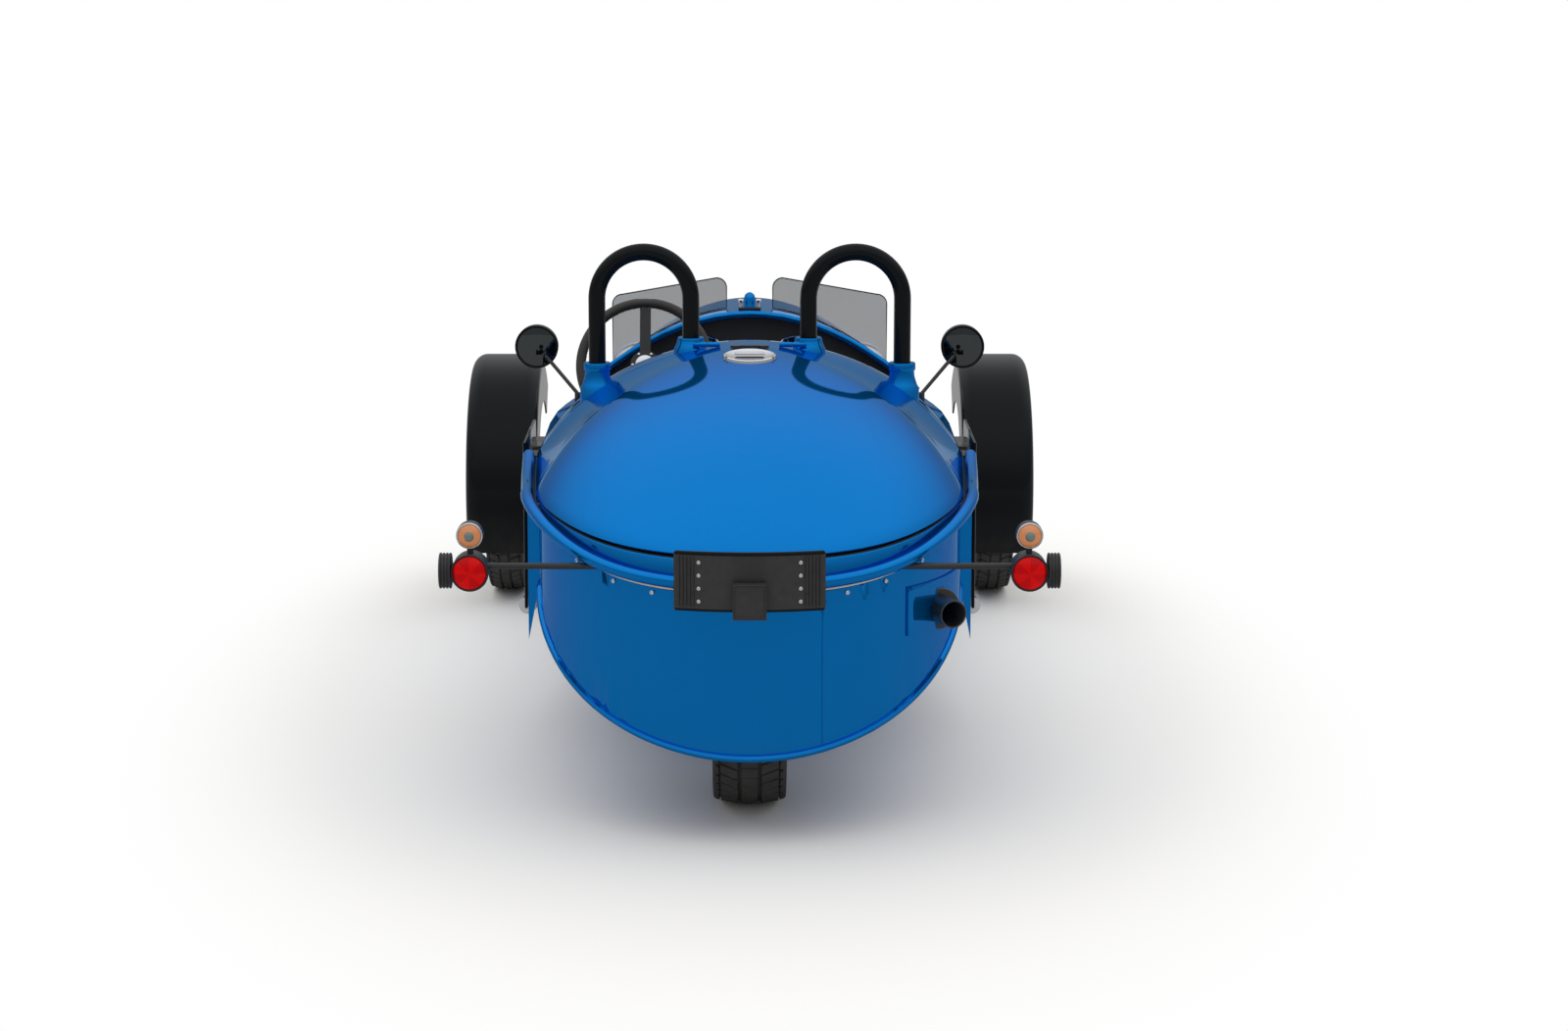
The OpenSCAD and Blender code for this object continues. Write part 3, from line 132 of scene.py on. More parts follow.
class Groups:
    """Shader node groups that several finishes share, each built once."""

    made: dict[str, bpy.types.NodeTree] = {}

    @classmethod
    def start(cls, name: str, inputs: dict[str, tuple[str, object]], outputs: dict[str, str]) -> tuple:
        """Makes an empty group with named sockets.

        Args:
            name: Name of the group.
            inputs: Socket name to its type and first value.
            outputs: Socket name to its type.

        Returns:
            The tree, its input node and its output node.
        """
        tree = bpy.data.node_groups.new(name, "ShaderNodeTree")
        for label, (kind, value) in inputs.items():
            socket = tree.interface.new_socket(label, in_out="INPUT", socket_type=kind)
            socket.default_value = value
        for label, kind in outputs.items():
            tree.interface.new_socket(label, in_out="OUTPUT", socket_type=kind)
        cls.made[name] = tree
        return tree, tree.nodes.new("NodeGroupInput"), tree.nodes.new("NodeGroupOutput")

    @classmethod
    def tint(cls) -> bpy.types.NodeTree:
        """Returns the group that wanders slowly between two colours."""
        if "tint" in cls.made:
            return cls.made["tint"]
        tree, given, out = cls.start(
            "tint",
            {"Main": ("NodeSocketColor", (1, 1, 1, 1)), "Second": ("NodeSocketColor", (1, 1, 1, 1)),
             "Scale": ("NodeSocketFloat", 3.0)},
            {"Color": "NodeSocketColor", "Value": "NodeSocketFloat"},
        )
        where = Wires.add(tree, "TexCoord")
        noise = Wires.add(tree, "TexNoise", {"Detail": 4.0})
        mix = Wires.add(tree, "Mix", data_type="RGBA")
        Wires.join(tree, (where, "Object", noise, "Vector"), (given, "Scale", noise, "Scale"),
                   (noise, "Fac", mix, "Factor"), (given, "Main", mix, 6), (given, "Second", mix, 7),
                   (mix, 2, out, "Color"), (noise, "Fac", out, "Value"))
        return tree

    @classmethod
    def grain(cls) -> bpy.types.NodeTree:
        """Returns the group that gives a fine surface grain as a value and a normal."""
        if "grain" in cls.made:
            return cls.made["grain"]
        tree, given, out = cls.start(
            "grain",
            {"Scale": ("NodeSocketFloat", 200.0), "Depth": ("NodeSocketFloat", 0.1)},
            {"Value": "NodeSocketFloat", "Normal": "NodeSocketVector"},
        )
        where = Wires.add(tree, "TexCoord")
        noise = Wires.add(tree, "TexNoise", {"Detail": 3.0})
        bump = Wires.add(tree, "Bump", {"Distance": 0.001})
        Wires.join(tree, (where, "Object", noise, "Vector"), (given, "Scale", noise, "Scale"),
                   (given, "Depth", bump, "Strength"), (noise, "Fac", bump, "Height"),
                   (noise, "Fac", out, "Value"), (bump, "Normal", out, "Normal"))
        return tree

    @staticmethod
    def mask(tree: bpy.types.NodeTree, ramp: bpy.types.Node, noise: bpy.types.Node, given: bpy.types.Node,
             out: bpy.types.Node) -> None:
        """Gives out a mask: a ramp, broken up by noise, times the amount that is given.

        Args:
            tree: The group's tree.
            ramp: The ramp.
            noise: The noise.
            given: The group's input node.
            out: The group's output node.
        """
        times = Wires.add(tree, "Math", operation="MULTIPLY")
        scaled = Wires.add(tree, "Math", operation="MULTIPLY")
        Wires.join(tree, (ramp, "Result", times, 0), (noise, "Fac", times, 1), (times, "Value", scaled, 0),
                   (given, "Amount", scaled, 1), (scaled, "Value", out, "Mask"))

    @classmethod
    def wear(cls) -> bpy.types.NodeTree:
        """Returns the group that masks rubbed edges."""
        if "edge_wear" in cls.made:
            return cls.made["edge_wear"]
        tree, given, out = cls.start(
            "edge_wear",
            {"Amount": ("NodeSocketFloat", 0.3), "Scale": ("NodeSocketFloat", 60.0)},
            {"Mask": "NodeSocketFloat"},
        )
        where = Wires.add(tree, "TexCoord")
        noise = Wires.add(tree, "TexNoise")
        shape = Wires.add(tree, "NewGeometry")
        ramp = Wires.add(tree, "MapRange", {"From Min": 0.52, "From Max": 0.62})
        Wires.join(tree, (where, "Object", noise, "Vector"), (given, "Scale", noise, "Scale"),
                   (shape, "Pointiness", ramp, "Value"))
        cls.mask(tree, ramp, noise, given, out)
        return tree

    @classmethod
    def dust(cls) -> bpy.types.NodeTree:
        """Returns the group that masks road dust, thickest near the ground."""
        if "road_dust" in cls.made:
            return cls.made["road_dust"]
        tree, given, out = cls.start(
            "road_dust",
            {"Top": ("NodeSocketFloat", 0.4), "Amount": ("NodeSocketFloat", 0.2)},
            {"Mask": "NodeSocketFloat"},
        )
        where = Wires.add(tree, "TexCoord")
        split = Wires.add(tree, "SeparateXYZ")
        noise = Wires.add(tree, "TexNoise", {"Scale": 24.0, "Detail": 6.0})
        ramp = Wires.add(tree, "MapRange", {"To Min": 1.0, "To Max": 0.0})
        Wires.join(tree, (where, "Object", split, "Vector"), (where, "Object", noise, "Vector"),
                   (split, "Z", ramp, "Value"), (given, "Top", ramp, "From Max"))
        cls.mask(tree, ramp, noise, given, out)
        return tree


@dataclass(frozen=True)
class Finish:
    """One surface finish, wired from the shared groups.

    Attributes:
        name: Name of the material.
        slot: Material slot of the record that it belongs to.
        main: Main colour, linear.
        second: Colour that it wanders towards.
        rough: Lowest and highest roughness.
        metallic: Share of metal.
        coat: Weight of the clear coat.
        coat_rough: Roughness of the clear coat.
        grain: Scale of the fine grain, and its depth.
        tint_scale: Scale of the wander between the two colours.
        wear: Share of rubbed edges, and their colour.
        dust: Height that dust reaches, and its share.
        transmission: Share of light let through.
        ior: Index of refraction.
        edge_tint: Colour of what is mirrored at a flat angle.
    """

    name: str
    slot: str
    main: Colour
    second: Colour
    rough: tuple[float, float] = (0.4, 0.55)
    metallic: float = 0.0
    coat: float = 0.0
    coat_rough: float = 0.03
    grain: tuple[float, float] = (240.0, 0.05)
    tint_scale: float = 4.0
    wear: tuple[float, Colour] = (0.0, (0.5, 0.5, 0.5))
    dust: tuple[float, float] = (0.4, 0.0)
    transmission: float = 0.0
    ior: float = 1.5
    edge_tint: Colour = (1.0, 1.0, 1.0)

    def begin(self) -> tuple[bpy.types.Material, bpy.types.NodeTree, bpy.types.Node]:
        """Returns a new material, its node tree and its shader node."""
        material = bpy.data.materials.new(self.name)
        material.use_nodes = True
        return material, material.node_tree, material.node_tree.nodes["Principled BSDF"]

    def group(self, tree: bpy.types.NodeTree, kind: bpy.types.NodeTree, **values: object) -> bpy.types.Node:
        """Places a shared group in a material.

        Args:
            tree: The material's node tree.
            kind: The group.
            values: Socket values by their labels.

        Returns:
            The group node.
        """
        return Wires.add(tree, "Group", values, node_tree=kind)

    def over(self, tree: bpy.types.NodeTree, below: bpy.types.NodeSocket, mask: bpy.types.NodeSocket,
             colour: Colour) -> bpy.types.NodeSocket:
        """Lays a colour over another where a mask says so.

        Args:
            tree: The material's node tree.
            below: Colour socket underneath.
            mask: Share of the upper colour.
            colour: The upper colour.

        Returns:
            The mixed colour socket.
        """
        mix = Wires.add(tree, "Mix", {7: (*colour, 1.0)}, data_type="RGBA")
        tree.links.new(mask, mix.inputs["Factor"])
        tree.links.new(below, mix.inputs[6])
        return mix.outputs[2]

    def colour(self, tree: bpy.types.NodeTree) -> bpy.types.NodeSocket:
        """Returns the colour socket, with wear and dust laid on."""
        tint = self.group(tree, Groups.tint(), Main=(*self.main, 1), Second=(*self.second, 1),
                          Scale=self.tint_scale)
        result = tint.outputs["Color"]
        if self.wear[0] > 0:
            worn = self.group(tree, Groups.wear(), Amount=self.wear[0])
            result = self.over(tree, result, worn.outputs["Mask"], self.wear[1])
        if self.dust[1] > 0:
            dusty = self.group(tree, Groups.dust(), Top=self.dust[0], Amount=self.dust[1])
            result = self.over(tree, result, dusty.outputs["Mask"], (0.25, 0.23, 0.2))
        return result

    def surface(self, tree: bpy.types.NodeTree, shader: bpy.types.Node) -> None:
        """Wires roughness and normal from the fine grain."""
        fine = self.group(tree, Groups.grain(), Scale=self.grain[0], Depth=self.grain[1])
        ramp = Wires.add(tree, "MapRange", {"From Min": 0.3, "From Max": 0.7, "To Min": self.rough[0],
                                            "To Max": self.rough[1]})
        Wires.join(tree, (fine, "Value", ramp, "Value"), (ramp, "Result", shader, "Roughness"),
                   (fine, "Normal", shader, "Normal"))

    def constants(self, shader: bpy.types.Node) -> None:
        """Sets the values that are the same all over the surface."""
        values = {"Metallic": self.metallic, "Coat Weight": self.coat, "Coat Roughness": self.coat_rough,
                  "Transmission Weight": self.transmission, "IOR": self.ior,
                  "Specular Tint": (*self.edge_tint, 1.0)}
        for label, value in values.items():
            shader.inputs[label].default_value = value

    def make(self) -> bpy.types.Material:
        """Returns the finished material, made on the first call."""
        if self.name in bpy.data.materials:
            return bpy.data.materials[self.name]
        material, tree, shader = self.begin()
        self.constants(shader)
        tree.links.new(self.colour(tree), shader.inputs["Base Color"])
        self.surface(tree, shader)
        return material


@dataclass(frozen=True)
class Lens(Finish):
    """Moulded lens with wedge facets round its middle, every other wedge painted darker as painted facet
    shade.

    Attributes:
        centre: Middle of the lens on the right-hand side.
        wedges: Number of wedges.
    """

    centre: Place = (0.0, 0.0, 0.0)
    wedges: int = 8

    def colour(self, tree: bpy.types.NodeTree) -> bpy.types.NodeSocket:
        """Returns a colour that alternates from wedge to wedge, every other one painted darker as painted
        facet shade.
        """
        where = Wires.add(tree, "TexCoord")
        split = Wires.add(tree, "SeparateXYZ")
        Wires.join(tree, (where, "Object", split, "Vector"))

        def sums(operation: str, first: object, second: object) -> bpy.types.NodeSocket:
            """Returns the socket of one sum."""
            node = Wires.add(tree, "Math", operation=operation)
            for k, value in enumerate((first, second)):
                if isinstance(value, bpy.types.NodeSocket):
                    tree.links.new(value, node.inputs[k])
                elif value is not None:
                    node.inputs[k].default_value = value
            return node.outputs["Value"]

        across = sums("SUBTRACT", sums("ABSOLUTE", split.outputs["X"], None), self.centre[0])
        up = sums("SUBTRACT", split.outputs["Z"], self.centre[2])
        turn = sums("MULTIPLY", sums("ARCTAN2", up, across), self.wedges / math.tau)
        # Painted shade: every other wedge takes the darker second colour, in place of facets that catch less
        # light.
        wedge = sums("GREATER_THAN", sums("FRACT", turn, None), 0.5)
        base = super().colour(tree)
        return self.over(tree, base, wedge, self.second)


@dataclass(frozen=True)
class Hide(Finish):
    """Leather with a pebbled grain."""

    def surface(self, tree: bpy.types.NodeTree, shader: bpy.types.Node) -> None:
        """Wires a pebbled bump and a soft roughness."""
        where = Wires.add(tree, "TexCoord")
        cells = Wires.add(tree, "TexVoronoi", {"Scale": self.grain[0]})
        bump = Wires.add(tree, "Bump", {"Strength": self.grain[1], "Distance": 0.001})
        ramp = Wires.add(tree, "MapRange", {"To Min": self.rough[0], "To Max": self.rough[1]})
        Wires.join(tree, (where, "Object", cells, "Vector"), (cells, "Distance", bump, "Height"),
                   (cells, "Distance", ramp, "Value"), (ramp, "Result", shader, "Roughness"),
                   (bump, "Normal", shader, "Normal"))


BLUE = Finish("deep_blue_paint", "blue_paint", (0.0, 0.205, 0.62), (0.0, 0.185, 0.57), rough=(0.05, 0.08),
              metallic=0.8, coat=0.12, grain=(900.0, 0.006), tint_scale=2.0, dust=(0.26, 0.1),
              edge_tint=(0.1, 0.5, 0.85))
BLACK = Finish("black_gloss_paint", "black_paint", (0.004, 0.005, 0.006), (0.006, 0.007, 0.008),
               rough=(0.08, 0.13), coat=0.04, grain=(700.0, 0.01), dust=(0.3, 0.2), ior=1.2)
TRIM = Finish("black_moulded_trim", "black_trim", (0.012, 0.012, 0.013), (0.02, 0.02, 0.021),
              rough=(0.34, 0.5), grain=(1500.0, 0.12), wear=(0.25, (0.08, 0.08, 0.085)))
FRAME_BLACK = Finish("frame_enamel", "frame_black", (0.014, 0.014, 0.015), (0.022, 0.022, 0.024),
                     rough=(0.3, 0.45), coat=0.3, grain=(500.0, 0.04), wear=(0.3, (0.16, 0.15, 0.14)),
                     dust=(0.45, 0.35))
BOARD = Finish("textured_board", "board", (0.02, 0.02, 0.022), (0.035, 0.035, 0.037), rough=(0.6, 0.8),
               grain=(800.0, 0.5))
HIDE = Hide("black_hide", "hide", (0.017, 0.016, 0.015), (0.03, 0.028, 0.026), rough=(0.38, 0.6),
            grain=(420.0, 0.35))
SMOKED = Finish("smoked_sheet", "smoked_screen", (0.7, 0.715, 0.73), (0.66, 0.675, 0.69),
                rough=(0.02, 0.05), transmission=1.0, ior=1.45, grain=(80.0, 0.004))
CLEAR = Finish("clear_glass", "lens_clear", (0.94, 0.95, 0.96), (0.9, 0.92, 0.93), rough=(0.02, 0.06),
               transmission=1.0, ior=1.45, grain=(160.0, 0.05))
# Red lens with every other wedge painted darker, as painted facet shade.
RED = Lens("red_lens_painted_facet_shade", "lens_red", (0.8, 0.0015, 0.003), (0.5, 0.0, 0.0015), rough=(0.08, 0.16),
           coat=0.08, ior=1.2, grain=(300.0, 0.05), centre=(0.604, 0.0, 0.586), wedges=4)
AMBER = Finish("amber_lens", "lens_amber", (0.75, 0.27, 0.08), (0.55, 0.2, 0.08), rough=(0.1, 0.2),
               coat=0.8, grain=(420.0, 0.2))
TEAL = Finish("pale_bullet", "lens_clear", (0.15, 0.2, 0.19), (0.11, 0.16, 0.16), rough=(0.06, 0.14),
              coat=0.3, grain=(300.0, 0.05))
BRIGHT = Finish("bright_plate", "bright", (0.78, 0.78, 0.8), (0.7, 0.71, 0.73), rough=(0.06, 0.16),
                metallic=1.0, grain=(300.0, 0.01), dust=(0.4, 0.1))
ALLOY = Finish("cast_alloy", "alloy", (0.42, 0.42, 0.43), (0.34, 0.34, 0.35), rough=(0.35, 0.55),
               metallic=1.0, grain=(900.0, 0.25), wear=(0.3, (0.6, 0.6, 0.6)), dust=(0.4, 0.2))
FINNED = Finish("finned_black_alloy", "cylinder_black", (0.03, 0.03, 0.032), (0.05, 0.05, 0.052),
                rough=(0.45, 0.6), metallic=0.6, grain=(900.0, 0.2), wear=(0.5, (0.4, 0.4, 0.41)))
STEEL = Finish("brushed_bar", "steel", (0.4, 0.4, 0.42), (0.3, 0.3, 0.32), rough=(0.25, 0.45), metallic=1.0,
               grain=(600.0, 0.06), dust=(0.5, 0.2))
RUBBER = Finish("tyre_rubber", "rubber_tyre", (0.014, 0.014, 0.015), (0.026, 0.025, 0.024),
                rough=(0.65, 0.85), grain=(900.0, 0.3), dust=(0.35, 0.25))
# Black for the lid's seal, and for two dark cords on the rim that are painted shade in the cove and under the
# bead.
SEAL_AND_SHADE = Finish("black_seal_and_painted_shade", "black_trim", (0.008, 0.008, 0.009), (0.013, 0.013, 0.014), rough=(0.5, 0.7),
              grain=(600.0, 0.1))
PIPING = Finish("pale_piping", "bright", (0.62, 0.58, 0.5), (0.5, 0.47, 0.4), rough=(0.3, 0.45),
                grain=(400.0, 0.05))
# Painted reflection: the mirror's reflectance is painted very dark, standing in for the dark surroundings that
# it mirrors.
DARKENED_MIRROR_GLASS = Finish("mirror_glass_painted_dark", "bright", (0.09, 0.1, 0.1), (0.07, 0.08, 0.08), rough=(0.02, 0.05),
                      metallic=1.0, grain=(40.0, 0.002))

NODE_FINISH: dict[Finish, tuple[str, ...]] = {
    BLUE: ("hull_floor", "side_louvres"),
    BLACK: ("roll_hoops", "side_shields", "wing_left", "wing_right"),
    TRIM: ("mirrors", "steering_wheel", "lamp_arms", "plate_holder", "lid_handle"),
    FRAME_BLACK: ("front_bulkhead", "steering_column", "tailpipe", "front_frame", "wishbones", "knuckle_left",
                  "knuckle_right", "swing_arm"),
    BOARD: ("rear_bulkhead", "dash_panel", "wheel_tunnel"),
    HIDE: ("seat_cushions", "seat_backs"),
    SMOKED: ("fly_screens",),
    CLEAR: ("headlamp_lenses",),
    RED: ("red_lenses",),
    AMBER: ("amber_lenses",),
    BRIGHT: ("exhaust_headers", "headlamps", "front_wheel_left", "front_wheel_right"),
    ALLOY: ("engine_case", "intake", "rack_housing", "rear_wheel"),
    FINNED: ("engine_cylinders",),
    STEEL: ("gear_lever", "dampers", "tie_rods"),
    RUBBER: ("front_tyre_left", "front_tyre_right", "rear_tyre"),
}


class Bench:
    """Modelling steps as done by hand, on one object at a time."""

    @staticmethod
    def alone(piece: bpy.types.Object) -> None:
        """Selects one object and makes it active."""
        for other in bpy.context.view_layer.objects:
            other.select_set(False)
        piece.select_set(True)
        bpy.context.view_layer.objects.active = piece

    @staticmethod
    def clear() -> None:
        """Deselects every object."""
        for other in bpy.context.view_layer.objects:
            other.select_set(False)
        bpy.context.view_layer.objects.active = None

    @staticmethod
    @contextmanager
    def editing(piece: bpy.types.Object, pick: Pick = Pick.FACE) -> Iterator[None]:
        """Opens an object in edit mode with the selection that its mesh holds.

        Args:
            piece: The object.
            pick: What the selection is made of.

        Yields:
            Nothing; the mode is left when the block ends.
        """
        Bench.alone(piece)
        bpy.context.tool_settings.mesh_select_mode = pick.value
        bpy.ops.object.mode_set(mode="EDIT")
        try:
            yield
        finally:
            bpy.ops.object.mode_set(mode="OBJECT")

    @staticmethod
    def faces(piece: bpy.types.Object, test: Callable[[Vector, Vector], bool]) -> None:
        """Selects the faces that pass a test, and nothing else.

        Args:
            piece: The mesh.
            test: Test on a face's middle and normal.
        """
        mesh = piece.data
        mesh.vertices.foreach_set("select", [False] * len(mesh.vertices))
        mesh.edges.foreach_set("select", [False] * len(mesh.edges))
        for face in mesh.polygons:
            face.select = test(face.center, face.normal)

    @staticmethod
    def verts(piece: bpy.types.Object, test: Callable[[Vector], bool]) -> None:
        """Selects the vertices that pass a test, and nothing else.

        Args:
            piece: The mesh.
            test: Test on a vertex's place.
        """
        mesh = piece.data
        mesh.polygons.foreach_set("select", [False] * len(mesh.polygons))
        mesh.edges.foreach_set("select", [False] * len(mesh.edges))
        for vert in mesh.vertices:
            vert.select = test(vert.co)

    @staticmethod
    def modify(piece: bpy.types.Object, kind: str, **settings: object) -> None:
        """Adds a modifier and applies it.

        Args:
            piece: The mesh.
            kind: Type of the modifier.
            settings: Its properties.
        """
        Bench.alone(piece)
        modifier = piece.modifiers.new(kind.lower(), kind)
        for label, value in settings.items():
            setattr(modifier, label, value)
        bpy.ops.object.modifier_apply(modifier=modifier.name)

    @staticmethod
    def bevel(piece: bpy.types.Object, width: float, steps: int = 2, degrees: float = 30.0) -> None:
        """Rounds the edges of a mesh that are sharper than an angle.

        Args:
            piece: The mesh.
            width: Width of the rounding.
            steps: Steps round each edge.
            degrees: The angle.
        """
        Bench.modify(piece, "BEVEL", width=width, segments=steps, limit_method="ANGLE",
                     angle_limit=math.radians(degrees))

    @staticmethod
    def subdivide(piece: bpy.types.Object, levels: int) -> None:
        """Rounds a mesh with a subdivision surface."""
        Bench.modify(piece, "SUBSURF", levels=levels, render_levels=levels)

    @staticmethod
    def smooth(piece: bpy.types.Object, degrees: float = 35.0) -> None:
        """Shades a mesh smooth below an edge angle."""
        Bench.alone(piece)
        bpy.ops.object.shade_smooth_by_angle(angle=math.radians(degrees))

    @staticmethod
    def settle(piece: bpy.types.Object) -> None:
        """Puts an object's place, turn and size into its mesh."""
        Bench.alone(piece)
        bpy.ops.object.transform_apply(location=True, rotation=True, scale=True)

    @staticmethod
    def copy(piece: bpy.types.Object, name: str, place: Matrix | None = None) -> bpy.types.Object:
        """Copies an object with its own mesh.

        Args:
            piece: The object to copy.
            name: Name of the copy.
            place: Transform of the copy's mesh.

        Returns:
            The copy, at the origin and on no body.
        """
        made = piece.copy()
        made.data = piece.data.copy()
        made.name = made.data.name = name
        for key in list(made.keys()):
            del made[key]
        made.parent = None
        made.matrix_world = Matrix.Identity(4)
        bpy.context.scene.collection.objects.link(made)
        if place is not None:
            made.data.transform(place)
            if place.determinant() < 0:
                made.data.flip_normals()
        return made

    @staticmethod
    def join(pieces: list[bpy.types.Object], name: str) -> bpy.types.Object:
        """Joins objects into one.

        Args:
            pieces: The objects, of which the first stays.
            name: Name of the joined object.

        Returns:
            The joined object.
        """
        Bench.alone(pieces[0])
        for piece in pieces:
            piece.select_set(True)
        if len(pieces) > 1:
            bpy.ops.object.join()
        pieces[0].name = pieces[0].data.name = name
        return pieces[0]

    @staticmethod
    def repeat(master: bpy.types.Object, places: Iterable[Matrix], name: str) -> bpy.types.Object:
        """Copies a master to several places and joins the copies.

        Args:
            master: The piece modelled once, at the origin; it is used up.
            places: Transform of each copy.
            name: Name of the joined piece.

        Returns:
            The joined piece.
        """
        copies = [Bench.copy(master, f"{name}_{k}", place) for k, place in enumerate(places)]
        bpy.data.objects.remove(master)
        return Bench.join(copies, name)

    @staticmethod
    def tube(name: str, points: list[Place], radius: float, closed: bool = False,
             sides: int = 4) -> bpy.types.Object:
        """Makes a round tube along points.

        Args:
            name: Name of the piece.
            points: Places along its middle.
            radius: Radius of the tube.
            closed: Whether it runs round into itself.
            sides: Bevel steps per quarter.

        Returns:
            The tube as a mesh.
        """
        curve = bpy.data.curves.new(name, "CURVE")
        curve.dimensions = "3D"
        curve.bevel_depth = radius
        curve.bevel_resolution = sides
        curve.use_fill_caps = not closed
        line = curve.splines.new("POLY")
        line.points.add(len(points) - 1)
        for knot, place in zip(line.points, points):
            knot.co = (*place, 1.0)
        line.use_cyclic_u = closed
        piece = bpy.data.objects.new(name, curve)
        bpy.context.scene.collection.objects.link(piece)
        Bench.alone(piece)
        bpy.ops.object.convert(target="MESH")
        piece = bpy.context.view_layer.objects.active
        piece.name = piece.data.name = name
        Bench.smooth(piece, 50.0)
        return piece

    @staticmethod
    def rod(name: str, radius: float, depth: float, edge: float, sides: int = 32) -> bpy.types.Object:
        """Makes a round bar along Z with rounded ends, its middle at the origin.

        Args:
            name: Name of the piece.
            radius: Radius of the bar.
            depth: Length of the bar.
            edge: Radius of its rounded ends.
            sides: Sides of the bar.

        Returns:
            The bar.
        """
        Bench.clear()
        bpy.ops.mesh.primitive_cylinder_add(vertices=sides, radius=radius, depth=depth)
        piece = bpy.context.object
        piece.name = piece.data.name = name
        Bench.bevel(piece, edge, 3)
        Bench.smooth(piece, 40.0)
        return piece

    @staticmethod
    def block(name: str, size: Place, edge: float, steps: int = 2) -> bpy.types.Object:
        """Makes a box with rounded edges, its middle at the origin.

        Args:
            name: Name of the piece.
            size: Size along X, Y and Z.
            edge: Radius of its edges.
            steps: Steps round each edge.

        Returns:
            The box.
        """
        Bench.clear()
        bpy.ops.mesh.primitive_cube_add(size=1.0)
        piece = bpy.context.object
        piece.name = piece.data.name = name
        piece.scale = size
        Bench.settle(piece)
        Bench.bevel(piece, edge, steps)
        Bench.smooth(piece, 40.0)
        return piece

    @staticmethod
    def lathe(name: str, profile: list[tuple[float, float]], steps: int = 48,
              closed: bool = False) -> bpy.types.Object:
        """Turns a section about the X axis.

        Args:
            name: Name of the piece.
            profile: Places along the axis and out from it.
            steps: Steps round the axis.
            closed: Whether the section runs round into itself.

        Returns:
            The turned piece.
        """
        count = len(profile)
        mesh = bpy.data.meshes.new(name)
        lines = [(k, (k + 1) % count) for k in range(count if closed else count - 1)]
        mesh.from_pydata([(along, 0.0, out) for along, out in profile], lines, [])
        piece = bpy.data.objects.new(name, mesh)
        bpy.context.scene.collection.objects.link(piece)
        with Bench.editing(piece, Pick.VERT):
            bpy.ops.mesh.select_all(action="SELECT")
            bpy.ops.mesh.spin(steps=steps, angle=math.tau, center=(0, 0, 0), axis=(1, 0, 0))
            bpy.ops.mesh.select_all(action="SELECT")
            bpy.ops.mesh.remove_doubles(threshold=1e-6)
            bpy.ops.mesh.select_all(action="SELECT")
            bpy.ops.mesh.normals_make_consistent(inside=False)
        Bench.smooth(piece, 35.0)
        return piece

    @staticmethod
    def ring(name: str, radius: float, tube: float, steps: int = 48) -> bpy.types.Object:
        """Makes a round ring about the X axis.

        Args:
            name: Name of the piece.
            radius: Radius of its middle.
            tube: Radius of its section.
            steps: Steps round it.

        Returns:
            The ring, at the origin.
        """
        turns = [math.tau * k / 10 for k in range(10)]
        section = [(tube * math.sin(turn), radius + tube * math.cos(turn)) for turn in turns]
        return Bench.lathe(name, section, steps, closed=True)

    @staticmethod
    def skin(name: str, rings: list[list[Place]], closed: bool = True) -> bpy.types.Object:
        """Spans a mesh over rows of points.

        Args:
            name: Name of the piece.
            rings: Rows with the same number of points.
            closed: Whether each row runs round into itself; the end rows are then capped.

        Returns:
            The mesh, smooth.
        """
        count = len(rings[0])
        span = count if closed else count - 1
        faces = [(k * count + i, k * count + (i + 1) % count, (k + 1) * count + (i + 1) % count,
                  (k + 1) * count + i) for k in range(len(rings) - 1) for i in range(span)]
        if closed:
            last = (len(rings) - 1) * count
            faces += [tuple(range(count)), tuple(last + i for i in range(count))]
        mesh = bpy.data.meshes.new(name)
        mesh.from_pydata([point for ring in rings for point in ring], [], faces)
        piece = bpy.data.objects.new(name, mesh)
        bpy.context.scene.collection.objects.link(piece)
        with Bench.editing(piece, Pick.VERT):
            bpy.ops.mesh.select_all(action="SELECT")
            bpy.ops.mesh.remove_doubles(threshold=1e-6)
            bpy.ops.mesh.select_all(action="SELECT")
            bpy.ops.mesh.normals_make_consistent(inside=False)
        Bench.smooth(piece, 35.0)
        return piece

    @staticmethod
    def sheet(name: str, rows: list[list[Place]], thick: float, edge: float) -> bpy.types.Object:
        """Makes a sheet with its upper face over rows of points.

        Args:
            name: Name of the piece.
            rows: Rows with the same number of points.
            thick: Thickness below the points.
            edge: Radius of its edges.

        Returns:
            The sheet.
        """
        piece = Bench.skin(name, rows, closed=False)
        if sum(face.normal.z for face in piece.data.polygons) < 0:
            piece.data.flip_normals()
        Bench.modify(piece, "SOLIDIFY", thickness=thick, offset=-1.0, use_even_offset=False)
        Bench.bevel(piece, edge, degrees=50.0)
        Bench.smooth(piece, 35.0)
        return piece

    @staticmethod
    def facing(place: Place, degrees: float, lay: float) -> Matrix:
        """Lays a piece back and turns it about Z at a place.

        Args:
            place: The place.
            degrees: Turn about Z.
            lay: Turn about X before that.

        Returns:
            The transform.
        """
        turn = Matrix.Rotation(math.radians(degrees), 4, "Z")
        return Matrix.Translation(place) @ turn @ Matrix.Rotation(math.radians(lay), 4, "X")

    @staticmethod
    def merge(piece: bpy.types.Object) -> None:
        """Merges the split corners of a copied CAD mesh and drops its stored normals."""
        with Bench.editing(piece, Pick.VERT):
            bpy.ops.mesh.select_all(action="SELECT")
            bpy.ops.mesh.customdata_custom_splitnormals_clear()
            bpy.ops.mesh.remove_doubles(threshold=1e-5)
            bpy.ops.mesh.select_all(action="DESELECT")

    @staticmethod
    def islands(piece: bpy.types.Object) -> list[bpy.types.Object]:
        """Returns the loose parts of a mesh as objects of their own."""
        with Bench.editing(piece, Pick.VERT):
            bpy.ops.mesh.select_all(action="SELECT")
            bpy.ops.mesh.separate(type="LOOSE")
        return list(bpy.context.selected_objects)

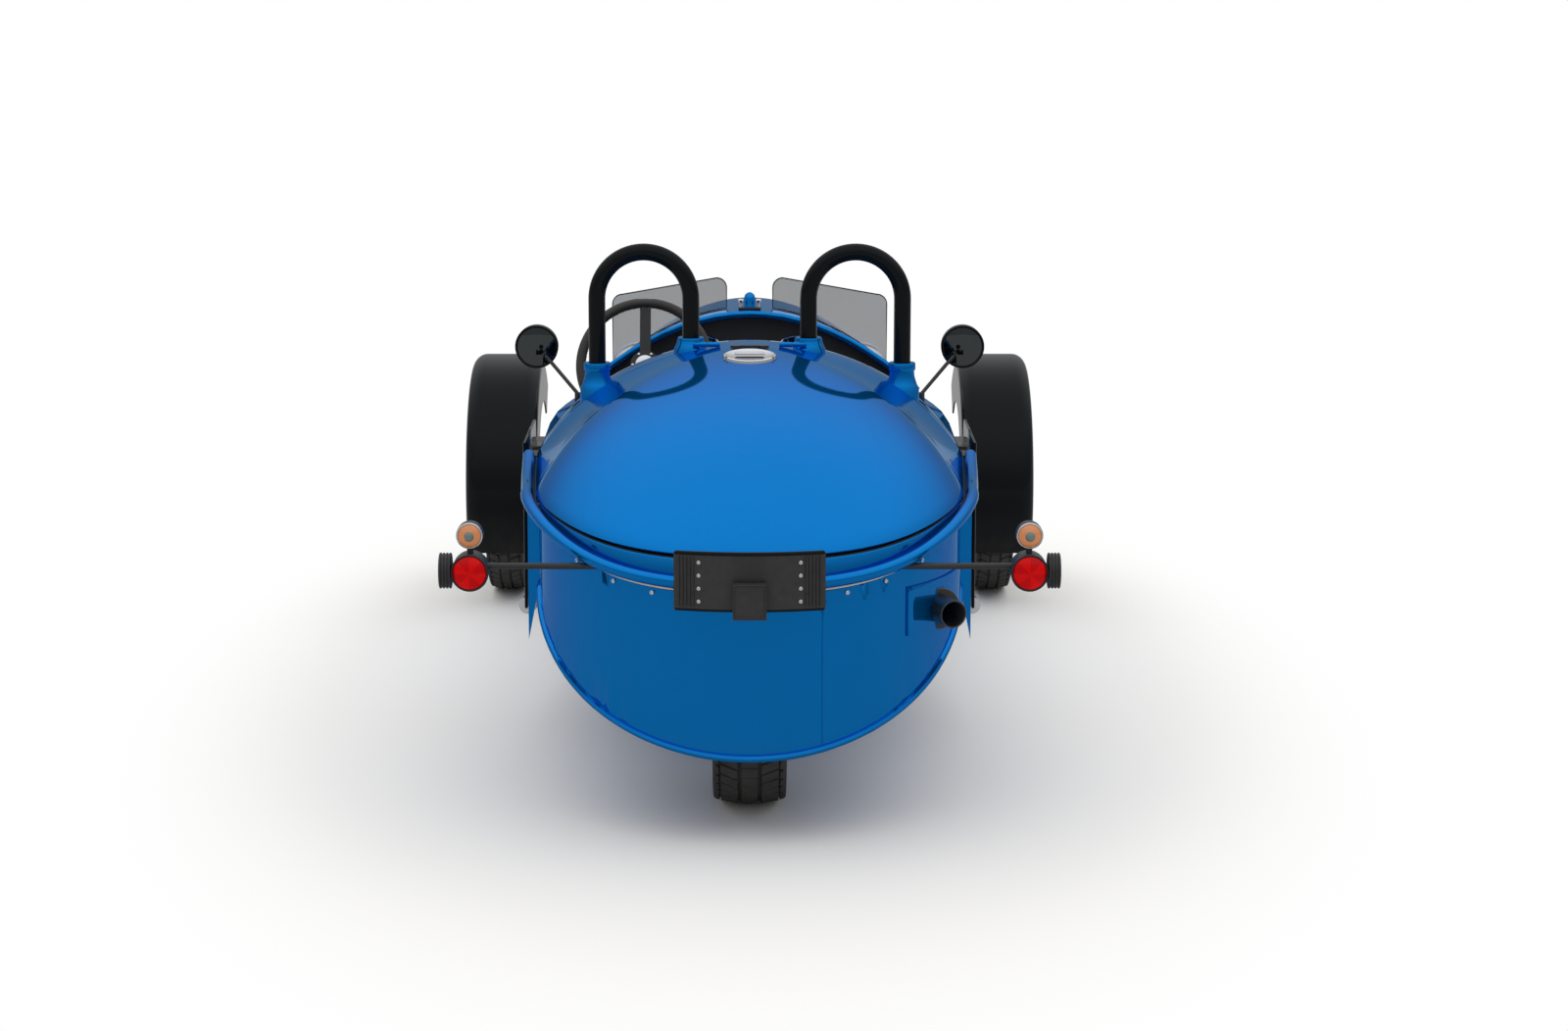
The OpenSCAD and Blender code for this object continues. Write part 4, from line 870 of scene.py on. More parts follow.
    @staticmethod
    def screw(name: str, radius: float) -> bpy.types.Object:
        """Makes a domed cross-head screw along Z with its seat at the origin.

        Args:
            name: Name of the piece.
            radius: Radius of the head.

        Returns:
            The screw.
        """
        Bench.clear()
        bpy.ops.mesh.primitive_cylinder_add(vertices=16, radius=radius, depth=radius * 0.7,
                                            location=(0, 0, radius * 0.35))
        piece = bpy.context.object
        piece.name = piece.data.name = name
        Bench.settle(piece)
        top = radius * 0.65
        Bench.faces(piece, lambda middle, normal: middle.z > top)
        with Bench.editing(piece):
            bpy.ops.mesh.inset(thickness=radius * 0.35, depth=radius * 0.18)
            bpy.ops.mesh.inset(thickness=radius * 0.25, depth=radius * 0.02)
            bpy.ops.mesh.extrude_region_move(TRANSFORM_OT_translate={"value": (0, 0, -radius * 0.3)})
        Bench.smooth(piece, 30.0)
        return piece


class Garage:
    """Puts finished pieces on their bodies and finishes on CAD nodes."""

    @staticmethod
    def dress(piece: bpy.types.Object, finish: Finish) -> None:
        """Gives a piece one finish all over.

        Args:
            piece: The piece.
            finish: Its finish.
        """
        piece.data.materials.clear()
        piece.data.materials.append(finish.make())

    @staticmethod
    def fit(piece: bpy.types.Object, finish: Finish, body: Body, *nodes: str) -> bpy.types.Object:
        """Finishes a piece, puts it on a body and lets it stand for CAD nodes.

        Args:
            piece: The piece, in place.
            finish: Its finish.
            body: The body that it rides on.
            nodes: CAD nodes that it stands for.

        Returns:
            The piece.
        """
        Garage.dress(piece, finish)
        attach(piece, body.value)
        if nodes:
            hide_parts(*nodes)
        LOG.info("%s: %d faces on %s", piece.name, len(piece.data.polygons), body.value)
        return piece

    @staticmethod
    def panel(node: str, name: str, levels: int = 2, edge: float = 0.0015) -> bpy.types.Object:
        """Makes a smooth skin from a faceted CAD panel.

        Args:
            node: The CAD node.
            name: Name of the skin.
            levels: Subdivision levels.
            edge: Radius of its rolled edges.

        Returns:
            The skin, in the node's place.
        """
        whole = Bench.copy(frame["nodes"][node], name)
        Bench.merge(whole)
        parts = Bench.islands(whole)
        for part in parts:
            if max(part.dimensions) > 0.5:
                Garage.round_off(part, levels, edge)
            Bench.smooth(part, 40.0)
        return Bench.join(parts, name)

    @staticmethod
    def round_off(piece: bpy.types.Object, levels: int, edge: float) -> None:
        """Rounds a large faceted sheet and keeps its sharp edges.

        Args:
            piece: The sheet.
            levels: Subdivision levels.
            edge: Radius of its rolled edges.
        """
        with Bench.editing(piece, Pick.VERT):
            bpy.ops.mesh.select_all(action="SELECT")
            bpy.ops.mesh.tris_convert_to_quads(face_threshold=math.radians(30),
                                               shape_threshold=math.radians(70))
        with Bench.editing(piece, Pick.EDGE):
            bpy.ops.mesh.select_all(action="DESELECT")
            bpy.ops.mesh.edges_select_sharp(sharpness=math.radians(38))
            bpy.ops.transform.edge_crease(value=1.0)
        if levels > 0:
            Bench.subdivide(piece, levels)
        if edge > 0:
            Bench.bevel(piece, edge, degrees=50.0)

    @staticmethod
    def finish_nodes() -> None:
        """Gives each CAD node that stays in view its finish."""
        for finish, names in NODE_FINISH.items():
            for name in names:
                Garage.dress(frame["nodes"][name], finish)


@dataclass
class TailShell:
    """Barrel tail: wall, rim, lid, deck and what is fixed to them."""

    wall_r: float = 0.476
    centre_y: float = -1.088
    tail_y: float = -1.6
    hoop_y: float = -0.7
    front_y: float = -0.744
    turn_y: float = -1.02
    side_z: float = 0.698
    rise: float = 0.035
    drop: float = 0.116
    fall_power: float = 1.65
    lip_rise: float = 0.054
    solid_front: float = 0.768
    solid_drop: float = 0.156
    solid_side: tuple[float, float] = (0.756, 0.066)
    still_z: float = 0.45
    fade_y: float = -0.15
    bilge_z: float = 0.485
    bottom_z: float = 0.198
    widest_y: float = -0.45
    widest: float = 0.5
    crown: float = 0.986
    fullness: float = 0.9
    lid_t: float = 0.008
    lid_rows: int = 40
    deck_ends: tuple[float, float] = (-0.64, -0.74)
    deck_t: float = 0.022
    hinge: tuple[float, float] = (-0.743, 0.988)
    dish_at: Place = (0.0, -0.89, 0.9788)
    dish_tilt: float = 6.0
    seam_x: float = 0.157
    screw_turns: tuple[int, ...] = (24, 38, 52, 64, 76, 104, 116, 128, 142, 156)
    sleeves: tuple[tuple[float, float], ...] = ((0.139, 1.0), (0.361, 0.94))

    def share(self, y: float) -> float:
        """Returns the share of the rim's fall at a fore and aft place."""
        way = min(1.0, max(0.0, self.turn_y - y) / (self.turn_y - self.tail_y))
        return ((1 - math.cos(math.pi * way)) / 2) ** self.fall_power

    def rim_z(self, y: float) -> float:
        """Returns the height of the rim's line at a fore and aft place."""
        ahead = max(0.0, min(y, self.hoop_y) - self.turn_y) / (self.hoop_y - self.turn_y)
        return self.side_z - self.drop * self.share(y) + self.rise * ahead ** 2

    def solid_z(self, y: float) -> float:
        """Returns the height of the solids' upper edge at a fore and aft place."""
        if y > self.hoop_y:
            return self.solid_side[0] - self.solid_side[1] * ((y - self.hoop_y) / 1.66) ** 2
        return self.solid_front - self.solid_drop * ((self.hoop_y - y) / (self.hoop_y - self.tail_y)) ** 2

    def fall(self, y: float) -> float:
        """Returns how far the upper edge lies below the solids' one."""
        if y <= self.hoop_y:
            return self.solid_z(y) - self.rim_z(y)
        way = min(1.0, max(0.0, (self.fade_y - y) / (self.fade_y - self.hoop_y)))
        return self.rise * way * way * (3 - 2 * way)

    def lower(self, piece: bpy.types.Object) -> bpy.types.Object:
        """Draws a skin's upper edge down to the rim's line, less and less further down.

        Args:
            piece: The skin.

        Returns:
            The skin.
        """
        for vert in piece.data.vertices:
            _, y, z = vert.co
            part = min(1.0, max(0.0, (z - self.still_z) / (self.solid_z(y) - self.still_z)))
            vert.co.z = z - part * self.fall(y)
        return piece

    def arch(self, way: float) -> float:
        """Returns the share of an arch's fall at a share of its half span."""
        full = self.fullness
        return (1 - math.sqrt(1 - (full * way) ** 2)) / (1 - math.sqrt(1 - full * full))

    def deck_z(self, x: float, y: float) -> float:
        """Returns the height of the deck's upper face."""
        half = self.wall_r + self.spread(y)
        return self.crown - (self.crown - self.rim_z(y) - 0.006) * self.arch(min(1.0, abs(x) / half))

    def wall_at(self, degrees: float, radius: float) -> tuple[float, float]:
        """Returns the plan place at a turn round the tail, from the right by way of the rear."""
        turn = math.radians(degrees)
        return radius * math.cos(turn), self.centre_y - radius * math.sin(turn)

    def spread(self, y: float) -> float:
        """Returns how much wider the hull is than the tail at a fore and aft place."""
        way = (y - self.widest_y) / (self.centre_y - self.widest_y)
        return (self.widest - self.wall_r) * (1 - way ** 2)

    def wall_low(self, degrees: float) -> float:
        """Returns the height of the wall's lower edge at a turn round the tail."""
        return self.bilge_z - (self.bilge_z - self.bottom_z) * math.sin(math.radians(degrees))

    def rim_line(self, out: float, up: float, lift: float = 0.0, steps: int = 96) -> list[Place]:
        """Follows the rim from its right front end round the tail to its left one.

        Args:
            out: Way out from the wall.
            up: Way above the rim's line.
            lift: Further way up at the tail's end.
            steps: Steps round the half circle.

        Returns:
            The points.
        """
        points: list[Place] = []
        for k in range(steps + 1):
            turn = 180.0 * k / steps
            x, y = self.wall_at(turn, self.wall_r + out)
            line_y = self.wall_at(turn, self.wall_r)[1]
            points.append((x, y, self.rim_z(line_y) + up + lift * self.share(line_y)))
        ahead = [self.centre_y + (self.front_y - self.centre_y) * k / 24 for k in range(24, 0, -1)]
        right = [(self.wall_r + out + self.spread(y), y, self.rim_z(y) + up + lift * self.share(y))
                 for y in ahead]
        left = [(-x, y, z) for x, y, z in reversed(right)]
        return right + points + left

    def build(self) -> None:
        """Builds the shell's skins, seals, seam, screws and dish."""
        Garage.fit(self.lower(Garage.panel("tail_wall", "tail_wall_skin")), BLUE, Body.HULL, "tail_wall")
        self.rim()
        self.lid()
        self.deck()
        self.seals()
        self.screws()
        self.dish()

    def rim(self) -> None:
        """Sweeps the rim's bead, cove and lip round the tail."""
        bead = [math.radians(a) for a in range(-110, 131, 20)]
        section = [(-0.02, -0.02, 0.0), (0.004, -0.02, 0.0), (0.016, -0.0135, 0.0)]
        section += [(0.028 + 0.014 * math.cos(a), 0.014 * math.sin(a), 0.0) for a in bead]
        section += [(0.014, -0.002, 0.0), (0.0085, -0.009, 0.0), (0.005, -0.0075, 0.0)]
        section += [(0.003, -0.0095, self.lip_rise), (0.001, -0.0065, self.lip_rise),
                    (-0.009, -0.0065, self.lip_rise), (-0.012, -0.0095, self.lip_rise),
                    (-0.012, -0.01, 0.0), (-0.02, -0.01, 0.0)]
        lines = [self.rim_line(out, up, lift) for out, up, lift in section]
        rings = [list(ring) for ring in zip(*lines)]
        Garage.fit(Bench.skin("tail_rim_swept", rings), BLUE, Body.HULL, "tail_rim")

    def lid(self) -> None:
        """Spans the lid's dome from its hinged front edge, with its two hinge barrels."""
        edge = self.rim_line(0.008, 0.006, self.lip_rise)
        rows = []
        for k in range(self.lid_rows + 1):
            way = k / self.lid_rows
            rows.append([(x * way, self.front_y + (y - self.front_y) * way,
                          self.crown - (self.crown - z) * self.arch(way)) for x, y, z in edge])
        dome = Bench.sheet("tail_lid_dome", rows, self.lid_t, 0.0018)
        whole = Bench.join([dome, self.barrels("lid_barrels", 0.085)], "tail_lid_dome")
        Garage.fit(whole, BLUE, Body.LID, "tail_lid")

    def barrels(self, name: str, x: float) -> bpy.types.Object:
        """Makes a pair of hinge barrels.

        Args:
            name: Name of the pair.
            x: Place of their middles either side.

        Returns:
            The pair.
        """
        barrel = Bench.rod(name, 0.006, 0.03, 0.0012, 24)
        lay = Matrix.Rotation(math.pi / 2, 4, "Y")
        return Bench.repeat(barrel, [Matrix.Translation((s * x, *self.hinge)) @ lay for s in (-1, 1)], name)

    def deck(self) -> None:
        """Spans the deck behind the seats, with the flared sleeves that hold the roll hoops."""
        front, back = self.deck_ends
        rows = []
        for k in range(7):
            y = front + (back - front) * k / 6
            half = self.wall_r + self.spread(y)
            places = [half * math.sin(math.radians(3 * i)) for i in range(-30, 31)]
            rows.append([(x, y, self.deck_z(x, y)) for x in places])
        parts = [Bench.sheet("deck_sheet", rows, self.deck_t, 0.002), self.barrels("deck_barrels", 0.1153)]
        for x, top in self.sleeves:
            base = self.deck_z(x, self.hoop_y)
            high = top - base
            shape = [(-0.045, 0.042), (0.0, 0.041), (0.01, 0.0355), (0.028, 0.03), (high - 0.018, 0.029),
                     (high - 0.017, 0.032), (high - 0.003, 0.032), (high, 0.0305), (high, 0.0203),
                     (high - 0.01, 0.0203)]
            sleeve = Bench.lathe(f"deck_sleeve_{top}", shape, 48)
            places = [Matrix.Translation((s * x, self.hoop_y, base)) @ UPRIGHT for s in (-1, 1)]
            parts.append(Bench.repeat(sleeve, places, "deck_sleeves"))
        Garage.fit(Bench.join(parts, "hoop_deck_formed"), BLUE, Body.HULL, "hoop_deck")

    def seals(self) -> None:
        """Lays the lid's seal, a dark cord in the cove as painted shade, the piping, and a dark cord under the
        bead as painted shade.
        """
        cords = (("rim_piping", self.rim_line(0.012, -0.0197), 0.0027, PIPING),
                 # Painted shade: a dark cord under the piping, where the wall sits in under the bead.
                 ("rim_under_shade_cord", self.rim_line(0.0035, -0.0238), 0.0023, SEAL_AND_SHADE),
                 # Painted shade: a dark cord at the bottom of the cove, which is dark from shading.
                 ("rim_cove_shade_cord", self.rim_line(0.0085, -0.0068), 0.003, SEAL_AND_SHADE),
                 ("lid_seal", self.rim_line(-0.001, -0.0048, self.lip_rise), 0.0022, SEAL_AND_SHADE))
        for name, line, radius, finish in cords:
            Garage.fit(Bench.tube(name, line, radius), finish, Body.HULL)

    def screws(self) -> None:
        """Sets screws round the wall under the rim, and the wall's upright lap seam."""
        master = Bench.screw("wall_screw", 0.0048)
        places = []
        for turn in self.screw_turns:
            x, y = self.wall_at(turn, self.wall_r)
            places.append(Bench.facing((x, y, self.rim_z(y) - 0.038), 90 - turn, 90))
        Garage.fit(Bench.repeat(master, places, "wall_screws"), BRIGHT, Body.HULL)
        turn = math.degrees(math.acos(self.seam_x / self.wall_r))
        x, y = self.wall_at(turn, self.wall_r)
        low = self.wall_low(turn) + 0.012
        high = self.rim_z(y) - 0.024
        seam = Bench.block("lap_seam", (0.0026, 0.0016, high - low), 0.0005)
        seam.data.transform(Bench.facing((x, y, (low + high) / 2), 90 - turn, 0))
        Garage.fit(seam, BLUE, Body.HULL)

    def dish(self) -> None:
        """Sets the bright round dish and its grip behind the lid's black catch."""
        stand = Matrix.Translation(self.dish_at) @ Matrix.Rotation(math.radians(self.dish_tilt), 4, "X")
        shape = [(0.0005, 0.0), (0.0005, 0.03), (0.0015, 0.046), (0.0045, 0.054), (0.0055, 0.057),
                 (0.004, 0.0605), (-0.002, 0.062), (-0.002, 0.0)]
        bowl = Bench.lathe("lid_dish", shape, 64)
        bowl.data.transform(stand @ UPRIGHT)
        Garage.fit(bowl, BRIGHT, Body.LID)
        grip = Bench.block("lid_dish_grip", (0.07, 0.016, 0.01), 0.0045)
        grip.data.transform(stand @ Matrix.Translation((0, 0, 0.006)))
        Garage.fit(grip, BRIGHT, Body.LID)


@dataclass
class Hull:
    """Hull sides, rear board, shields, scuttle with its rolled edge and pod, nose cowl and tailpipe."""

    pod_at: Place = (0.0, 0.25, 0.953)
    shield_at: Place = (0.541, -0.455, 0.534)
    shield_size: Place = (0.008, 0.37, 0.408)
    bracket_size: Place = (0.046, 0.3, 0.012)
    pipe_at: Place = (0.417, -1.3176, 0.478)
    pipe_turn: float = 22.0
    plate_heights: tuple[float, float] = (0.436, 0.545)
    bilge_inset: float = 0.004
    bilge_lap: float = 0.02

    def build(self) -> None:
        """Builds the hull's smooth skins and what is fixed to them."""
        shell = TailShell()
        for node in ("hull_side_left", "hull_side_right"):
            Garage.fit(shell.lower(Garage.panel(node, f"{node}_skin", 0, 0.0)), BLUE, Body.HULL, node)
        for node in ("scuttle", "nose_cowl"):
            Garage.fit(Garage.panel(node, f"{node}_skin"), BLUE, Body.HULL, node)
        board = shell.lower(Garage.panel("rear_bulkhead", "rear_bulkhead_board", 0, 0.0))
        Garage.fit(board, BOARD, Body.HULL, "rear_bulkhead")
        self.shields()
        self.scuttle_roll()
        self.pod()
        self.pipe()
        self.bilge()

    def shields(self) -> None:
        """Stands a flat shield off each side on its bracket."""
        x, y, z = self.shield_at
        panel = Bench.block("shield_panel", self.shield_size, 0.0035)
        bracket = Bench.block("shield_bracket", self.bracket_size, 0.002)
        panels = [Matrix.Translation((side.value * x, y, z)) for side in Side]
        brackets = [Matrix.Translation((side.value * (x - 0.026), y, z + 0.16)) for side in Side]
        parts = [Bench.repeat(panel, panels, "shield_panels"),
                 Bench.repeat(bracket, brackets, "shield_brackets")]
        Garage.fit(Bench.join(parts, "side_shield_panels"), BLACK, Body.HULL, "side_shields")

    def scuttle_roll(self) -> None:
        """Rolls the scuttle's rear edge along the top corners of its solid."""
        corners = [vert.co for vert in frame["nodes"]["scuttle"].data.vertices]
        back = min(co.y for co in corners)
        top: dict[float, float] = {}
        for co in corners:
            if co.y < back + 0.001:
                key = round(co.x, 3)
                top[key] = max(co.z, top.get(key, 0.0))
        line = [(x, back + 0.002, top[x] - 0.006) for x in sorted(top)]
        Garage.fit(Bench.tube("scuttle_roll", line, 0.009), BLUE, Body.HULL)

    def pod(self) -> None:
        """Sets the upright pod on the scuttle with its black bracket and bright knobs."""
        x, y, z = self.pod_at
        shape = [(-0.006, 0.0), (-0.006, 0.019), (0.0, 0.019), (0.006, 0.016), (0.03, 0.0155),
                 (0.04, 0.012), (0.045, 0.006), (0.0465, 0.0)]
        pod = Bench.lathe("scuttle_pod", shape, 40)
        pod.data.transform(Matrix.Translation((x, y, z)) @ UPRIGHT)
        Garage.fit(pod, BLUE, Body.HULL)
        bracket = Bench.block("pod_bracket", (0.06, 0.014, 0.01), 0.003)
        bracket.data.transform(Matrix.Translation((x, y - 0.02, z + 0.004)))
        Garage.fit(bracket, TRIM, Body.HULL)
        knob = [(-0.004, 0.0), (-0.004, 0.004), (0.012, 0.004), (0.014, 0.008), (0.02, 0.0085),
                (0.023, 0.006), (0.024, 0.0)]
        places = [Matrix.Translation((x + s * 0.023, y - 0.022, z + 0.008)) @ UPRIGHT for s in (-1, 1)]
        Garage.fit(Bench.repeat(Bench.lathe("pod_knob", knob, 24), places, "pod_knobs"), BRIGHT, Body.HULL)

    def pipe(self) -> None:
        """Turns the tailpipe outward from its flange on the tail wall."""
        shape = [(-0.03, 0.028), (0.077, 0.028), (0.078, 0.0295), (0.077, 0.031), (0.012, 0.031),
                 (0.012, 0.044), (0.01, 0.046), (-0.012, 0.046), (-0.012, 0.031), (-0.03, 0.031)]
        pipe = Bench.lathe("tailpipe_turned", shape, 48, closed=True)
        turn = Matrix.Rotation(math.radians(self.pipe_turn - 90), 4, "Z")
        pipe.data.transform(Matrix.Translation(self.pipe_at) @ turn)
        Garage.fit(pipe, FRAME_BLACK, Body.HULL, "tailpipe")
        self.surround()

    def surround(self) -> None:
        """Lays a curved blue plate over the wall round the tailpipe."""
        shell = TailShell()
        low, high = self.plate_heights
        rows: list[list[Place]] = []
        for k in range(4):
            row = []
            for turn in range(6, 45, 2):
                foot = max(low, shell.wall_low(turn) + 0.006)
                row.append((*shell.wall_at(turn, shell.wall_r + 0.001), foot + (high - foot) * k / 3))
            rows.append(row)
        plate = Bench.skin("pipe_surround", rows, closed=False)
        Bench.modify(plate, "SOLIDIFY", thickness=0.006, offset=0.0)
        Bench.bevel(plate, 0.001, degrees=50.0)
        Bench.smooth(plate, 35.0)
        Garage.fit(plate, BLUE, Body.HULL)

    def bilge(self) -> None:
        """Closes the round bottom up to the tail wall's lower edge on both sides."""
        shell = TailShell()
        deep = shell.bilge_z - shell.bottom_z - self.bilge_inset
        front = shell.centre_y + self.bilge_lap
        sheets: list[bpy.types.Object] = []
        for side in Side:
            rows: list[list[Place]] = []
            for turn in range(0, 49, 2):
                x, back = shell.wall_at(turn, shell.wall_r - self.bilge_inset)
                z = shell.bilge_z - deep * math.sin(math.radians(turn))
                rows.append([(side.value * x, back + (front - back) * k / 8, z) for k in range(9)])
            sheet = Bench.skin(f"bilge_{side.name.lower()}", rows, closed=False)
            Bench.modify(sheet, "SOLIDIFY", thickness=0.004, offset=0.0)
            sheets.append(sheet)
        closers = Bench.join(sheets, "bilge_closers")
        Bench.smooth(closers, 35.0)
        Garage.fit(closers, BLUE, Body.HULL)


@dataclass
class Lamps:
    """Tail lamps with their markers and spools, mirrors, screens and headlamps."""

    lamp_x: float = 0.604
    lamp_z: float = 0.586
    lamp_face: float = -1.469
    marker_z: float = 0.665
    marker_face: float = -1.4623
    spool_x: float = 0.658
    arm_y: float = -1.44
    mirror_at: Place = (0.56, 0.1347, 0.868)
    head_at: Place = (0.33, 1.3235, 0.64)

    def pair(self, master: bpy.types.Object, place: Place, name: str, finish: Finish, degrees: float,
             *nodes: str) -> None:
        """Sets a turned piece on both sides of the car.

        Args:
            master: The piece about the X axis; it is used up.
            place: Its place on the right.
            name: Name of the pair.
            finish: Its finish.
            degrees: Turn about Z that points its axis.
            nodes: CAD nodes that the pair stands for.
        """
        x, y, z = place
        turn = Matrix.Rotation(math.radians(degrees), 4, "Z")
        places = [Matrix.Translation((side.value * x, y, z)) @ turn for side in Side]
        Garage.fit(Bench.repeat(master, places, name), finish, Body.HULL, *nodes)

    def build(self) -> None:
        """Builds rims, spools, bullets, glasses and the screens' dark edges."""
        red = (self.lamp_x, self.lamp_face, self.lamp_z)
        self.pair(Bench.ring("red_rim", 0.0385, 0.0026), red, "red_lens_rims", TRIM, -90)
        dome = [(0.0155, 0.0), (0.0152, 0.008), (0.0125, 0.02), (0.0085, 0.03), (0.003, 0.0355),
                (0.0, 0.036), (-0.0005, 0.036)]
        self.pair(Bench.lathe("red_dome", dome, 48), red, "red_lens_domes", RED, -90, "red_lenses")
        shell = [(0.0145, 0.0), (0.014, 0.008), (0.011, 0.017), (0.006, 0.0235), (0.0, 0.025),
                 (-0.0005, 0.025)]
        base = (self.lamp_x, self.arm_y - 0.0145, self.marker_z)
        self.pair(Bench.lathe("amber_dome", shell, 40), base, "amber_lens_domes", AMBER, -90,
                  "amber_lenses")
        amber = (self.lamp_x, self.marker_face - 0.004, self.marker_z)
        bullet = [(0.008, 0.0), (0.007, 0.005), (0.004, 0.009), (0.0, 0.0115), (-0.006, 0.0115),
                  (-0.006, 0.0)]
        self.pair(Bench.lathe("marker_bullet", bullet, 32), amber, "marker_bullets", TEAL, -90)
        self.pair(Bench.ring("marker_ring", 0.0265, 0.0022),
                  (self.lamp_x, self.arm_y - 0.014, self.marker_z), "marker_rims", BRIGHT, -90)
        master = Bench.ring("spool_rib", 0.0365, 0.0026)
        places = [Matrix.Translation((side.value * (self.spool_x + step), self.arm_y, self.lamp_z))
                  for side in Side for step in (-0.0105, -0.0035, 0.0035, 0.0105)]
        Garage.fit(Bench.repeat(master, places, "spool_ribs"), TRIM, Body.HULL)
        glass = [(0.0022, 0.0), (0.002, 0.02), (0.0014, 0.036), (0.0, 0.05), (-0.002, 0.051), (-0.002, 0.0)]
        # The mirror panes get the darkened glass, a painted reflection.
        self.pair(Bench.lathe("mirror_pane", glass, 64), self.mirror_at, "mirror_panes", DARKENED_MIRROR_GLASS, -90)
        self.pair(Bench.ring("mirror_bezel", 0.0535, 0.0034, 64), self.mirror_at, "mirror_bezels", BLACK,
                  -90)
        self.pair(Bench.ring("head_rim", 0.083, 0.0045, 64), self.head_at, "headlamp_rims", BRIGHT, 90)
        self.screen_edges()

    def screen_edges(self) -> None:
        """Trims the fly screens with a dark edge made from the sheets' own edge faces."""
        piece = Bench.copy(frame["nodes"]["fly_screens"], "screen_edges")
        Bench.merge(piece)
        Bench.faces(piece, lambda middle, normal: abs(normal.y) > 0.9)
        with Bench.editing(piece):
            bpy.ops.mesh.delete(type="FACE")
        Bench.modify(piece, "SOLIDIFY", thickness=0.0028, offset=0.2)
        Bench.smooth(piece, 40.0)
        Garage.fit(piece, TRIM, Body.HULL)


@dataclass
class PlateHolder:
    """Ribs, screws and strip on the curved plate holder."""

    centre_y: float = -1.088
    face_r: float = 0.5343
    low: float = 0.534
    high: float = 0.658
    half_turn: float = 17.2
    block_face: float = 0.5483
    block_low: float = 0.518
    block_high: float = 0.598
    block_turn: float = 3.4
    rib_turn: float = 12.9
    rib_step: float = 0.85
    screw_turn: float = 11.6

    def at(self, degrees: float, radius: float, z: float) -> Place:
        """Returns the place at a turn from straight back, at a radius and height."""
        turn = math.radians(degrees)
        return radius * math.sin(turn), self.centre_y - radius * math.cos(turn), z

    def build(self) -> None:
        """Builds the ribbed ends, the screws, the top strip and the block's frame."""
        middle = (self.low + self.high) / 2
        rib = Bench.block("holder_rib", (0.0042, 0.006, self.high - self.low - 0.016), 0.0018)
        turns = [s * (self.rib_turn + self.rib_step * k) for s in (-1, 1) for k in range(5)]
        places = [Bench.facing(self.at(turn, self.face_r, middle), turn, 0) for turn in turns]
        Garage.fit(Bench.repeat(rib, places, "holder_ribs"), TRIM, Body.HULL)
        screw = Bench.screw("holder_screw", 0.0042)
        turn = self.screw_turn
        places = [Bench.facing(self.at(s * turn, self.face_r, self.low + 0.02 + 0.028 * k), s * turn, 90)
                  for s in (-1, 1) for k in range(4)]
        Garage.fit(Bench.repeat(screw, places, "holder_screws"), BRIGHT, Body.HULL)
        for name, z, radius in (("holder_top_strip", self.high - 0.001, 0.0042),
                                ("holder_low_strip", self.low + 0.001, 0.003)):
            line = [self.at(self.half_turn * (k / 20 - 1), self.face_r - 0.0015, z) for k in range(41)]
            Garage.fit(Bench.tube(name, line, radius), BLACK, Body.HULL)
        turn = self.block_turn
        low, high = self.block_low + 0.005, self.block_high - 0.005
        frame_line = [self.at(turn * (k / 6 - 1), self.block_face, low) for k in range(13)]
        frame_line += [self.at(turn * (1 - k / 6), self.block_face, high) for k in range(13)]
        Garage.fit(Bench.tube("holder_block_frame", frame_line, 0.0024, closed=True), TRIM, Body.HULL)


